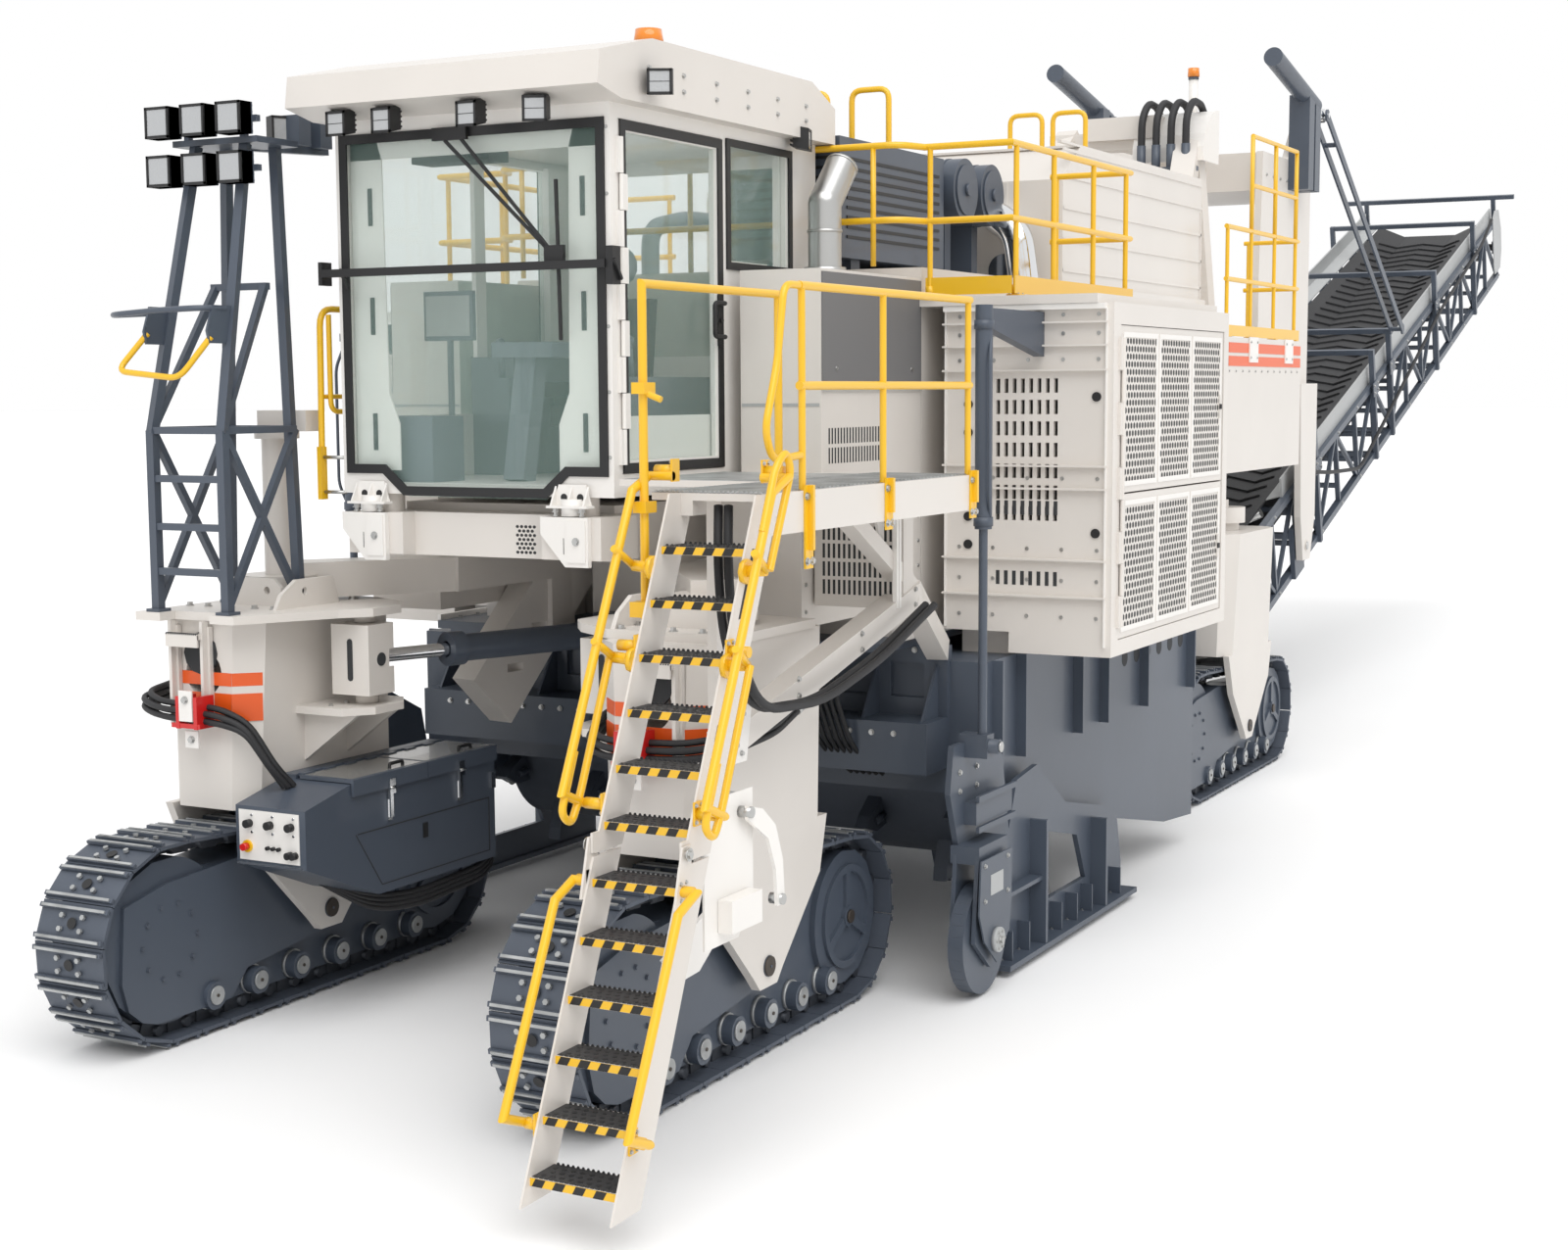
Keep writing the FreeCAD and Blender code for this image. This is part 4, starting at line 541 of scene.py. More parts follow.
def dress_toolbox():
    """Control face, latches, handles and seams of the box on the right front track, and a painted sheen on
    its lids.
    """
    body = "crawler_front_right"
    top = 1.61
    white = Batch("control face", WHITE, body)
    black = Batch("knobs", BLACK, body)
    red = Batch("stop button", RED, body, slot="white_paint")
    yellow = Batch("stop ring", YELLOW, body)
    chrome = Batch("box fittings", CHROME, body)
    seam = Batch("box seams", SHADE, body, slot="slate_paint")
    x = -2.11
    white.box(x, x + 0.006, -1.29, -0.80, 1.13, 1.455)
    chrome.box(x, x + 0.012, -1.31, -0.78, 1.1, 1.118)
    for y in (-1.2, -1.03, -0.86):
        black.rod((x, x + 0.05), y, 1.37, 0.027, 14)
        for dz in (0.055, -0.055):
            chrome.rod((x, x + 0.014), y + 0.02, 1.37 + dz, 0.009, 8)
    for y in spaced(-1.05, 0.045, 3):
        black.rod((x, x + 0.03), y, 1.22, 0.013, 10)
    for y in (-0.87, -0.83):
        black.rod((x, x + 0.05), y, 1.19, 0.024, 12)
    yellow.rod((x, x + 0.018), -1.22, 1.22, 0.04, 20)
    red.rod((x + 0.018, x + 0.06), -1.22, 1.22, 0.024, 16)
    side = -0.75
    seam.boxes((-4.08, -2.62, side, side + 0.003, 1.235, 1.243),
        (-4.08, -4.072, side, side + 0.003, 0.86, 1.24))
    for a, b in (((-2.6, 1.24), (-2.86, 0.86)), ((-2.86, 0.86), (-4.08, 0.86))):
        seam.beam((a[0], side + 0.001, a[1]), (b[0], side + 0.001, b[1]), 0.004, 0.007)
    black.box(-3.36, -3.31, side, side + 0.008, 1.09, 1.19)
    for x, lid in ((-2.95, "front"), (-3.72, "rear")):
        latch = Batch("latch " + lid, CHROME, "toolbox_lid_" + lid)
        grip = Batch("lid grip " + lid, BLACK, "toolbox_lid_" + lid)
        latch.boxes((x - 0.03, x + 0.03, side + 0.03, side + 0.04, 1.46, 1.56),
            (x - 0.015, x + 0.015, side + 0.005, side + 0.03, 1.3, 1.5))
        latch.rod((x - 0.035, x + 0.035), side + 0.04, 1.5, 0.012, 8)
        chrome.box(x - 0.022, x + 0.022, side, side + 0.012, 1.28, 1.42)
        grip.tube([(x - 0.22, side - 0.05, top), (x - 0.22, side - 0.05, top + 0.03),
            (x - 0.08, side - 0.05, top + 0.03), (x - 0.08, side - 0.05, top)], 0.012, 8, 0.02, 3)
        # thin lighter sheet on each lid's top: a painted sheen over the slate of the lid
        painted_sheen = Batch("lid sheet " + lid, LID_PAINTED_SHEEN, "toolbox_lid_" + lid)
        far = -3.35 if lid == "front" else -4.13
        painted_sheen.box(far + 0.02, far + 0.76, -1.15, -0.76, top, top + 0.002)
    chrome.box(-4.15, -4.10, side, side + 0.012, 1.3, 1.42)
    hose = Batch("hoses under the box", RUBBER, body)
    for z in spaced(0.72, -0.032, 4):
        hose.tube([(-2.7, -1.25, 0.9), (-2.95, -0.9, z + 0.02), (-3.3, -0.8, z), (-4.1, -0.82, z + 0.03),
            (-4.42, -0.95, z + 0.12), (-4.42, -1.3, z + 0.2)], 0.019, 8, 0.2, 5)


def dress_mast():
    """Floodlights and handles of the lamp mast, which turns with its column."""
    body = "crawler_front_right"
    lamps = lamp_batches("mast", body)
    for z in (5.44, 5.75):
        for y in spaced(-2.045, 0.3, 3):
            flood(*lamps, (-2.39, y, z + 0.1), AHEAD, 0.2, split=False)
    for x in spaced(-3.19, -0.22, 2):
        flood(*lamps, (x, -1.67, 5.86), (0.5, 0.86, 0), 0.19, split=False)
    loop = Batch("mast hand loop", YELLOW, body)
    loop.tube([(-2.12, -1.935, 4.49), (-1.98, -2.07, 4.25), (-1.98, -1.55, 4.2), (-2.12, -1.405, 4.46)],
        0.02, 10, 0.08, 5)
    shelf = Batch("mast shelf", SLATE, body)
    shelf.tube([(-2.26, -1.405, 4.64), (-2.06, -1.42, 4.64), (-2.0, -1.7, 4.63), (-2.0, -2.08, 4.61),
        (-2.1, -2.22, 4.61), (-2.2, -1.935, 4.62)], 0.019, 10, 0.1, 6)
    for y in (-1.405, -1.935):
        shelf.prism([(-2.3, 4.66), (-2.14, 4.66), (-2.08, 4.5), (-2.1, 4.42), (-2.26, 4.42)], "y",
            y - 0.008, y + 0.008)


def lamp_batches(place, body):
    """Housings, lenses and rims of the lamps of one place."""
    return (Batch(place + " lamp housings", BLACK, body, slot="grey_paint"),
        Batch(place + " lamp lenses", LENS, body), Batch(place + " lamp rims", BLACK, body,
        slot="grey_paint"))


def flood(shell, lens, rim, at, facing, size, split=True):
    """Square floodlight seen from its front: finned body, dark rim and pale lens."""
    at, facing = Vector(at), Vector(facing).normalized()
    side = Vector((-facing.y, facing.x, 0))
    up = Vector(UP)
    half = size / 2

    def block(batch, low, high, a, b, c, d):
        batch.hexa([at + facing * depth + side * s + up * u for depth in (low, high)
            for s, u in ((a, c), (b, c), (b, d), (a, d))])

    block(shell, -0.1, 0.004, -half, half, -half, half)
    for edge in ((-half, half, -half, -half + 0.016), (-half, half, half - 0.016, half),
            (-half, -half + 0.016, -half, half), (half - 0.016, half, -half, half)):
        block(rim, 0.004, 0.014, *edge)
    block(lens, 0.004, 0.009, -half * 0.82, half * 0.82, -half * 0.82, half * 0.82)
    if split:
        block(shell, 0.009, 0.0105, -half * 0.8, half * 0.8, -0.002, 0.002)
    for k in range(5):
        u = -half + (k + 0.5) * size / 5
        block(shell, -0.125, -0.1, -half + 0.01, half - 0.01, u - 0.006, u + 0.006)


# ------------------------------------------------------------------ cab
def band(batch, axis, low, high, points, width):
    """Flat frame of a width inside a closed outline, its corners mitred."""
    inset = []
    n = len(points)
    turn = sum(p[0] * q[1] - q[0] * p[1] for p, q in zip(points, points[1:] + points[:1]))
    for i in range(n):
        p, before, after = Vector(points[i]), Vector(points[i - 1]), Vector(points[(i + 1) % n])
        a, b = (p - before).normalized(), (after - p).normalized()
        na, nb = Vector((-a.y, a.x)), Vector((-b.y, b.x))
        mid = (na + nb).normalized() * (1 if turn > 0 else -1)
        inset.append(p + mid * width / max(0.3, abs(mid.dot(na))))
    for i in range(n):
        j = (i + 1) % n
        batch.prism([tuple(points[i]), tuple(points[j]), tuple(inset[j]), tuple(inset[i])], axis, low,
            high)


def dress_cab():
    """Seals, wipers, door frame, lining, lamps, beacon, mounts and what shows inside."""
    x1, w = -2.95, 1.05         # station of the front, half of the width
    seal = Batch("cab seals and wipers", BLACK)
    door = Batch("cab door frame", BLACK, "cab_door")
    trim = Batch("cab door handle", BLACK, "cab_door")
    steel = Batch("roof bolts", STEEL, slot="white_paint")
    screen = [(-0.985, 5.76), (0.985, 5.76), (0.985, 3.58), (0.70, 3.58), (0.54, 3.44), (-0.54, 3.44),
        (-0.70, 3.58), (-0.985, 3.58)]
    band(seal, "x", x1 + 0.001, x1 + 0.014, [(y * 1.03, z) for y, z in screen], 0.06)
    pillar = Batch("cab lining", WHITE)
    vent = Batch("cab lining slots", SHADE, slot="white_paint")
    for side in (1, -1):
        pillar.prism([(side * 0.97, 5.74), (side * 0.76, 5.74), (side * 0.72, 5.6), (side * 0.7, 4.1),
            (side * 0.62, 3.9), (side * 0.62, 3.6), (side * 0.97, 3.6)], "x", -3.01, -3.0)
        for z in (5.3, 4.6, 3.85):
            vent.box(-3.0, -2.996, side * 0.8, side * 0.835, z - 0.12, z + 0.12)
        pillar.boxes((-3.1, -5.6, side * 0.986, side * 0.976, 3.52, 3.95),
            (-4.33, -4.45, side * 0.986, side * 0.95, 3.52, 5.75),
            (-5.25, -5.62, side * 0.986, side * 0.94, 3.52, 5.75))
    pillar.boxes((-3.0, -3.02, -0.97, 0.97, 5.6, 5.76), (-5.62, -5.63, -0.8, 0.8, 3.52, 4.36),
        (-3.02, -5.6, -0.97, 0.97, 3.512, 3.52), (-3.02, -5.6, -0.97, 0.97, 5.79, 5.8))
    band(seal, "y", w, w + 0.014, [(-4.43, 5.72), (-5.27, 5.72), (-5.27, 4.96), (-4.43, 4.96)], -0.05)
    band(seal, "y", -w - 0.014, -w, [(-3.07, 5.73), (-5.28, 5.73), (-5.28, 3.95), (-3.07, 3.95)], -0.06)
    for z in spaced(3.7, 0.4, 6):
        steel.bolt((x1, w - 0.025, z), AHEAD, 0.009, 0.006)
    band(door, "y", w, w + 0.012, [(-3.056, 5.754), (-4.324, 5.754), (-4.324, 3.6), (-3.056, 3.6)], 0.06)
    door.tube([(-4.27, w + 0.01, 4.68), (-4.27, w + 0.06, 4.68), (-4.12, w + 0.06, 4.68),
        (-4.12, w + 0.06, 4.46), (-4.27, w + 0.06, 4.46), (-4.27, w + 0.01, 4.46)], 0.016, 10, 0.03, 4)
    door.box(-4.24, -4.3, w + 0.01, w + 0.02, 4.4, 4.74)
    trim.rod(-4.27, (w + 0.02, w + 0.035), 4.57, 0.016, 14)
    for (ya, za), (yb, zb) in (((-0.15, 5.68), (0.61, 4.98)), ((-0.04, 5.70), (0.69, 4.91)),
            ((0.68, 5.40), (0.70, 4.42))):
        seal.beam((x1 + 0.035, ya, za), (x1 + 0.035, yb, zb), 0.016, 0.02)
    seal.boxes((x1 + 0.02, x1 + 0.05, -0.24, 0.02, 5.68, 5.76),
        (x1 + 0.03, x1 + 0.06, 0.6, 0.74, 4.9, 5.0), (x1 + 0.08, x1 + 0.125, -1.1, 1.08, 4.85, 4.9),
        (x1 + 0.02, x1 + 0.11, 1.08, 1.13, 4.75, 4.98), (x1 + 0.01, x1 + 0.11, -1.13, -1.1, 4.8, 4.95))
    for y in (-1.0, 1.2):
        seal.beam((x1 + 0.03, y * 0.95, 4.78), (x1 + 0.11, y * 0.95, 4.9), 0.02, 0.02)

    # roof: a row of lamps under its lip, bolts along its side, beacon
    lamps = lamp_batches("roof", "chassis")
    for y, turn in ((-0.81, 0), (-0.45, 0), (0.2, 0), (0.7, 0.4)):
        flood(*lamps, (x1 + 0.28, y, 5.80), (1, turn, -0.25), 0.155)
        lamps[0].box(x1 + 0.16, x1 + 0.2, y - 0.02, y + 0.02, 5.86, 5.93)
    flood(*lamps, (-3.13, 1.3, 5.97), (0.9, 0.45, -0.1), 0.155)
    lamps[0].box(-3.24, -3.2, 1.17, 1.3, 5.95, 5.99)
    flood(*lamps, (-5.3, 1.2, 5.84), (-0.3, 0.9, -0.2), 0.15)
    for x in spaced(-3.2, -0.42, 6):
        for z in (6.07, 5.97):
            steel.bolt((x, 1.18, z), (0, 1, 0), 0.013, 0.014)
    amber = Batch("beacon", AMBER)
    foot = Batch("beacon foot", BLACK)
    foot.rod(-3.75, 0.85, (6.24, 6.3), 0.1, 24)
    amber.rod(-3.75, 0.85, (6.3, 6.4), 0.1, 24, top=0.085)

    # inside: steering stand, side consoles, screens and sun blind
    inside = Batch("cab consoles", CONSOLE)
    screen_glow = Batch("cab screen", GREY, slot="glass")
    blind = Batch("sun blind", CLOTH)
    inside.beam((-3.45, 0, 3.52), (-3.62, 0, 4.35), 0.16, 0.14)
    inside.box(-3.5, -3.72, -0.24, 0.24, 4.33, 4.43)
    for s in (1, -1):
        inside.box(-3.95, -4.9, s * 0.42, s * 0.62, 3.9, 4.2)
        inside.cyl((-4.02, s * 0.52, 4.2), (-4.0, s * 0.52, 4.42), 0.022, 10)
        inside.ball((-4.0, s * 0.52, 4.44), 0.035, 12)
    inside.boxes((-3.08, -3.42, -0.98, -0.42, 3.52, 3.95), (-4.3, -5.4, -0.985, -0.62, 3.52, 4.35),
        (-3.6, -3.64, -0.86, -0.46, 4.45, 4.78))
    inside.beam((-3.62, -0.66, 3.95), (-3.62, -0.66, 4.5), 0.03, 0.03)
    screen_glow.box(-3.598, -3.594, -0.84, -0.48, 4.48, 4.75)
    inside.ball((-4.72, 0, 4.98), 0.13, 14, 1.1)
    blind.box(-3.03, -3.25, -0.5, 0.1, 5.56, 5.76)

    # pads between the cab and its beam, ribbed ears above and pointed brackets below
    stud = Batch("cab mount bolts", STEEL)
    cup = Batch("cab mounts", WHITE)
    ear = Batch("cab brackets", WHITE)
    # black discs, slot and hexagons on the mount brackets stand in for holes and vent openings: painted
    # shade
    hole = Batch("cab vent", BLACK)
    face = x1 + 0.051
    for y in (-0.80, 0.76):
        cup.rod(-2.93, y, (3.335, 3.44), 0.075, 20)
        ear.prism([(y - 0.2, 3.33), (y + 0.15, 3.33), (y + 0.15, 3.02), (y - 0.02, 3.02),
            (y - 0.2, 3.22)], "x", face, face + 0.04)
        ear.boxes((face + 0.04, face + 0.05, y, y + 0.135, 3.05, 3.31),
            (x1 + 0.01, x1 + 0.1, y - 0.15, y + 0.15, 3.385, 3.4))
        ear.prism([(y - 0.14, 3.4), (y + 0.14, 3.4), (y + 0.1, 3.53), (y - 0.1, 3.53)], "x", x1 + 0.02,
            x1 + 0.03)
        for dy in (-0.12, 0.0, 0.12):
            ear.prism([(x1 + 0.03, 3.4), (x1 + 0.095, 3.4), (x1 + 0.03, 3.52)], "y", y + dy - 0.006,
                y + dy + 0.006)
        for dy in (-0.06, 0.06):
            hole.rod((x1 + 0.03, x1 + 0.032), y + dy, 3.45, 0.024, 16)
            stud.bolt((x1 + 0.07, y + dy * 1.6, 3.36), UP, 0.02, 0.022)
            stud.bolt((x1 + 0.07, y + dy * 1.6, 3.335), UP, 0.014, 0.04)
        stud.bolt((face + 0.05, y + 0.067, 3.18), AHEAD, 0.02, 0.014)
        hole.box(face + 0.04, face + 0.042, y - 0.03, y - 0.026, 3.1, 3.2)
    for row in range(7):
        for c in range(5 - row % 2):
            y, z = 0.36 + c * 0.032 + (row % 2) * 0.016, 3.1 + row * 0.027
            hole.prism(regular(6, y, z, 0.013, squash=11 / 13), "x", x1 + 0.0505, x1 + 0.052)


# ------------------------------------------------------------------ ladder and landing
TREAD_RUN, TREAD_RISE, Y_IN, Y_OUT = 0.118, 0.27, 2.38, 2.883
STRINGERS = ((Y_IN - 0.012, -1), (Y_OUT + 0.012, 1))    # outer face and its direction


def nose(z):
    return -(z - 0.33) * TREAD_RUN / TREAD_RISE


def slanted_nosing(black, yellow, x, y_low, y_high, z_low, z_high):
    """Warning stripes leaning across the front edge of a tread."""
    yellow.box(x - 0.002, x + 0.003, y_low, y_high, z_low, z_high)
    width, lean = 0.058, 0.022
    count = int((y_high - y_low) / (2 * width))
    for k in range(count):
        y = y_low + 0.01 + k * 2 * width
        top, end = min(y + width + lean, y_high), min(y + width, y_high)
        black.prism([(y, z_low), (end, z_low), (top, z_high), (min(y + lean, y_high), z_high)], "x",
            x + 0.003, x + 0.0045)


def dress_ladder():
    """Perforated treads with striped noses, stringer slots, pivots and rail brackets."""
    for body, first, last in (("ladder_lower", 0, 6), ("chassis", 6, 12)):
        top = Batch("tread tops " + body, GRATE, body)
        yellow = Batch("tread noses " + body, YELLOW, body)
        black = Batch("tread stripes " + body, BLACK, body)
        hub = Batch("rail brackets " + body, YELLOW, body)
        steel = Batch("ladder bolts " + body, STEEL, body)
        hole = Batch("tread holes " + body, BLACK, body, slot="beige_paint")
        for k in range(first, last):
            z = 0.33 + k * TREAD_RISE
            x = nose(z)
            top.box(x - 0.205, x - 0.012, Y_IN, Y_OUT, z, z + 0.002)
            for edge in (x - 0.008, x - 0.2):
                for n in range(17):
                    y = Y_IN + 0.016 + n * 0.0292
                    top.prism([(y, z), (y + 0.02, z), (y + 0.014, z + 0.013), (y + 0.006, z + 0.013)],
                        "x", edge - 0.006, edge)
            # black discs on each tread top stand in for its perforations: painted shade in the holes
            for row in range(3):
                for n in range(9):
                    hole.rod(x - 0.055 - row * 0.052, Y_IN + 0.04 + n * 0.053 + (row % 2) * 0.02,
                        (z + 0.002, z + 0.004), 0.014, 8)
            slanted_nosing(black, yellow, x, Y_IN, Y_OUT, z - 0.04, z)
        for y, out in STRINGERS:
            for z in ((2.03, 2.8, 3.69) if first else (0.56, 1.67)):
                x = nose(z)
                hub.box(x - 0.04, x + 0.035, y, y + out * 0.012, z - 0.06, z + 0.06)
                hub.rod(x, (y + out * 0.012, y + out * (0.12 if first else 0.072)), z, 0.03, 14)
                for dx, dz in corners((-0.028, 0.024), (-0.042, 0.042)):
                    steel.bolt((x + dx, y + out * 0.012, z + dz), (0, out, 0), 0.009, 0.009)
        if first == 0:
            for y, out in STRINGERS:
                steel.rod(-0.615, (y + out * 0.03, y + out * 0.036), 1.85, 0.034, 18)
                steel.bolt((-0.615, y + out * 0.034, 1.85), (0, out, 0), 0.02, 0.012)
        if first:
            slot = Batch("stringer slots", SHADE, body)
            for low, high, depth in ((2.36, 2.44, 0.1), (2.66, 2.74, 0.1), (2.95, 3.3, 0.13)):
                for face, out in STRINGERS:
                    slot.prism([(nose(low) - 0.04, low), (nose(low) - depth - 0.04, low + 0.02),
                        (nose(high) - depth - 0.04, high - 0.02), (nose(high) - 0.04, high)], "y",
                        face + out * 0.0005, face + out * 0.002)


def dress_hand_loops():
    """Closed loops at the ends of the fixed ladder's hand rails, with their cross bars."""
    loops = Batch("hand loops", YELLOW)
    off = 0.17
    for y_face, out in STRINGERS:
        y = y_face + out * 0.15
        loops.tube([(nose(2.3) + off, y, 2.3), (nose(2.0) + off, y, 2.0), (nose(1.97) + 0.07, y, 1.93),
            (nose(2.05) + 0.02, y, 2.06), (nose(2.74) + 0.02, y, 2.74)], 0.021, 10, 0.09, 6)
        for z in (2.74, 3.2):
            loops.cyl((nose(z) + off, y, z + 0.1), (nose(z) + 0.01, y - out * 0.02, z), 0.021, 10)
            loops.cyl((nose(z) + 0.01, y - out * 0.02, z), (nose(z) + 0.01, y_face, z - 0.01), 0.03, 14)
            loops.rod(nose(z) + 0.01, (y_face + out * 0.03, y_face), z - 0.01, 0.065, 8)
    y = Y_OUT + 0.012 + 0.15
    loops.tube([(nose(3.4) + off, y, 3.4), (nose(3.72) + off, y, 3.72), (nose(3.78) + 0.08, y, 3.8),
        (nose(3.7) - 0.01, y, 3.7), (nose(3.2) + 0.01, y, 3.2)], 0.021, 10, 0.09, 6)


def dress_platform():
    """Landing: grating, rail feet, hand holds, grilles and hoses behind the bracing."""
    grate = Batch("landing grating", WORN, slot="slate_paint")
    yellow = Batch("landing yellow", YELLOW)
    steel = Batch("landing bolts", STEEL)
    white = Batch("brace plates", WHITE, slot="beige_paint")
    dark = Batch("brace holes", SHADE)
    hose = Batch("landing hoses", RUBBER)
    floor = 3.57
    grate.boxes((-1.5, -4.3, 2.2, 2.86, floor, floor + 0.003),
        (-2.9, -4.14, 1.15, 2.2, floor, floor + 0.003))
    for n in range(52):
        x = -1.52 - n * 0.053
        grate.box(x - 0.012, x + 0.012, 2.21, 2.85, floor + 0.003, floor + 0.009)
    for n in range(24):
        y = 2.215 + n * 0.0275
        grate.prism([(y, floor), (y + 0.02, floor), (y + 0.014, floor + 0.014),
            (y + 0.006, floor + 0.014)], "x", -1.508, -1.5)
    for x, drop in ((-1.98, 0.42), (-3.0, 0.27), (-4.25, 0.27)):
        yellow.boxes((x - 0.045, x + 0.045, 2.884, 2.896, floor - drop, floor + 0.03),
            (x - 0.012, x + 0.012, 2.896, 2.925, floor - drop + 0.1, floor + 0.03))
        for dx in (-0.03, 0.03):
            for z in (floor - drop + 0.04, floor - 0.03):
                steel.bolt((x + dx, 2.896, z), (0, 1, 0), 0.017, 0.014)
    # hand hold from the landing's top rail, and the folded rail on the cab's far side
    yellow.tube([(-1.95, 2.853, 4.66), (-1.78, 2.853, 4.66), (-1.70, 2.853, 4.25), (-1.56, 2.853, 3.9),
        (-1.64, 2.853, 3.74), (-1.96, 2.853, 3.76)], 0.021, 10, 0.08, 5)
    yellow.tube([(-2.98, -1.26, 3.45), (-3.0, -1.26, 4.66), (-3.38, -1.26, 4.66), (-3.38, -1.26, 3.45)],
        0.022, 10, 0.12, 5)
    yellow.tube([(-3.04, -1.22, 4.62), (-3.04, -1.22, 3.98), (-3.32, -1.22, 3.98), (-3.32, -1.22, 4.62)],
        0.018, 10, 0.08, 5)
    yellow.tube([(-2.99, -1.26, 4.08), (-3.38, -1.26, 4.08)], 0.016, 10)
    for x in (-2.98, -3.38):
        yellow.box(x - 0.03, x + 0.03, -1.275, -1.24, 3.4, 3.75)
        for z in (3.45, 3.68):
            steel.rod(x, (-1.25, -1.06), z, 0.012, 8)
    yellow.tube([(-1.34, 2.25, 4.66), (-1.34, 2.25, 4.1), (-1.34, 2.36, 4.06)], 0.018, 8, 0.05, 4)
    for z in (4.12, 3.5):
        yellow.box(-1.40, -1.29, 2.21, 2.29, z - 0.03, z + 0.03)
    # flanges, brackets and gussets round the bracing
    for x, z in ((-2.0, 2.2), (-2.75, 2.38), (-3.6, 2.56), (-4.4, 2.77)):
        for dz in (-0.05, 0.05):
            steel.bolt((x, 2.426, z + dz), (0, 1, 0), 0.014, 0.014)
    white.prism([(-1.78, 2.05), (-2.1, 2.05), (-2.16, 2.35), (-1.98, 2.42), (-1.78, 2.3)], "y", 2.42,
        2.435)
    white.prism([(-4.15, 3.34), (-4.15, 3.0), (-4.02, 3.34)], "y", 2.3, 2.32)
    for x, z in ((-1.84, 2.1), (-2.04, 2.1), (-1.84, 2.26), (-2.06, 2.32)):
        steel.bolt((x, 2.436, z), (0, 1, 0), 0.013, 0.014)
    # slotted grilles: on the panel behind the brace and low on the radiator housing
    for row in range(6):
        for c in range(15):
            y, z = 1.83 + c * 0.037, 2.78 + row * 0.118
            dark.box(-4.25, -4.2485, y, y + 0.017, z, z + 0.095)
    for row in range(2):
        for c in range(20):
            x, z = -4.5 - c * 0.045, 3.62 + row * 0.13
            dark.box(x, x - 0.02, 1.75, 1.7515, z, z + 0.105)
    for x in (-4.12, -4.16):
        white.box(x - 0.015, x + 0.015, 2.40, 2.43, 2.72, 3.35)
    # hose behind the brace, up under the landing
    for dy in (0, 0.06):
        hose.tube([(-4.4, 2.5 + dy, 2.72), (-3.6, 2.5 + dy, 2.46), (-2.8, 2.5 + dy, 2.3),
            (-2.0, 2.52 + dy, 2.35), (-1.55, 2.6 + dy, 2.8), (-1.5, 2.6 + dy, 3.2),
            (-1.6, 2.55 + dy, 3.5)], 0.026, 10, 0.25, 6)


def dress_rails():
    """Feet of the stanchions, toe boards and orange stripe over the side housings."""
    foot = Batch("stanchion feet", YELLOW)
    toe = Batch("toe boards", YELLOW)
    steel = Batch("stanchion bolts", STEEL, slot="yellow_paint")
    stripe = Batch("rear stripe", ORANGE)
    sign_plate = Batch("rear plates", WHITE)
    for s in (1, -1):
        for x, y in ((-5.97, 1.83), (-6.06, 2.45), (-6.8, 2.45), (-7.65, 2.45), (-8.41, 2.45)):
            foot.box(x - 0.055, x + 0.055, s * (y - 0.05), s * (y + 0.05), 4.76, 4.772)
            foot.rod(x, s * y, (4.77, 4.84), 0.03, 12)
            for dx, dy in corners((-0.04, 0.04), (-0.035, 0.035)):
                steel.bolt((x + dx, s * y + dy, 4.772), UP, 0.008, 0.01)
        toe.boxes((-5.955, -5.965, s * 1.8, s * 2.46, 4.775, 4.9),
            (-5.96, -8.5, s * 2.478, s * 2.486, 4.775, 4.9))
        for x in (-13.14, -14.0, -14.9, -15.76):
            foot.box(x - 0.05, x + 0.05, s * 1.85, s * 1.945, 4.622, 4.634)
        toe.box(-13.1, -15.85, s * 1.93, s * 1.938, 4.63, 4.74)
        for low, high in ((4.33, 4.43), (4.465, 4.565)):
            stripe.box(-13.07, -15.87, s * 1.951, s * 1.954, low, high)
        for x in (-13.95, -15.35):
            sign_plate.box(x - 0.16, x + 0.16, s * 1.952, s * 1.966, 4.37, 4.63)
            for dx, dz in corners((-0.12, 0.12), (0.05, 0.21)):
                steel.bolt((x + dx, s * 1.966, 4.37 + dz), (0, s, 0), 0.012, 0.01)
        for z in (6.2, 6.7):
            toe.tube([(-14.0, s * 1.9, z - 0.01), (-15.76, s * 1.9, z - 0.01)], 0.024, 10)
        for x in (-14.0, -14.9, -15.76):
            toe.rod(x, s * 1.9, (5.7, 6.7), 0.024, 10)
    for z in (5.3, 5.82):
        toe.tube([(-5.97, 1.79, z), (-5.72, 1.7, z), (-5.72, -1.7, z), (-5.97, -1.79, z)], 0.024, 10,
            0.12, 5)
    for y in (-1.5, 0.0, 1.5):
        toe.rod(-5.72, y, (4.98, 5.82), 0.02, 10)
    for x, y in ((-6.3, 1.05), (-6.3, 0.55), (-9.8, 0.9), (-9.8, 1.3)):
        low, high = (5.9, 6.3) if x > -9 else (6.14, 6.5)
        toe.tube([(x, y, low), (x, y, high), (x, y + 0.3, high), (x, y + 0.3, low)], 0.022, 10, 0.08, 5)


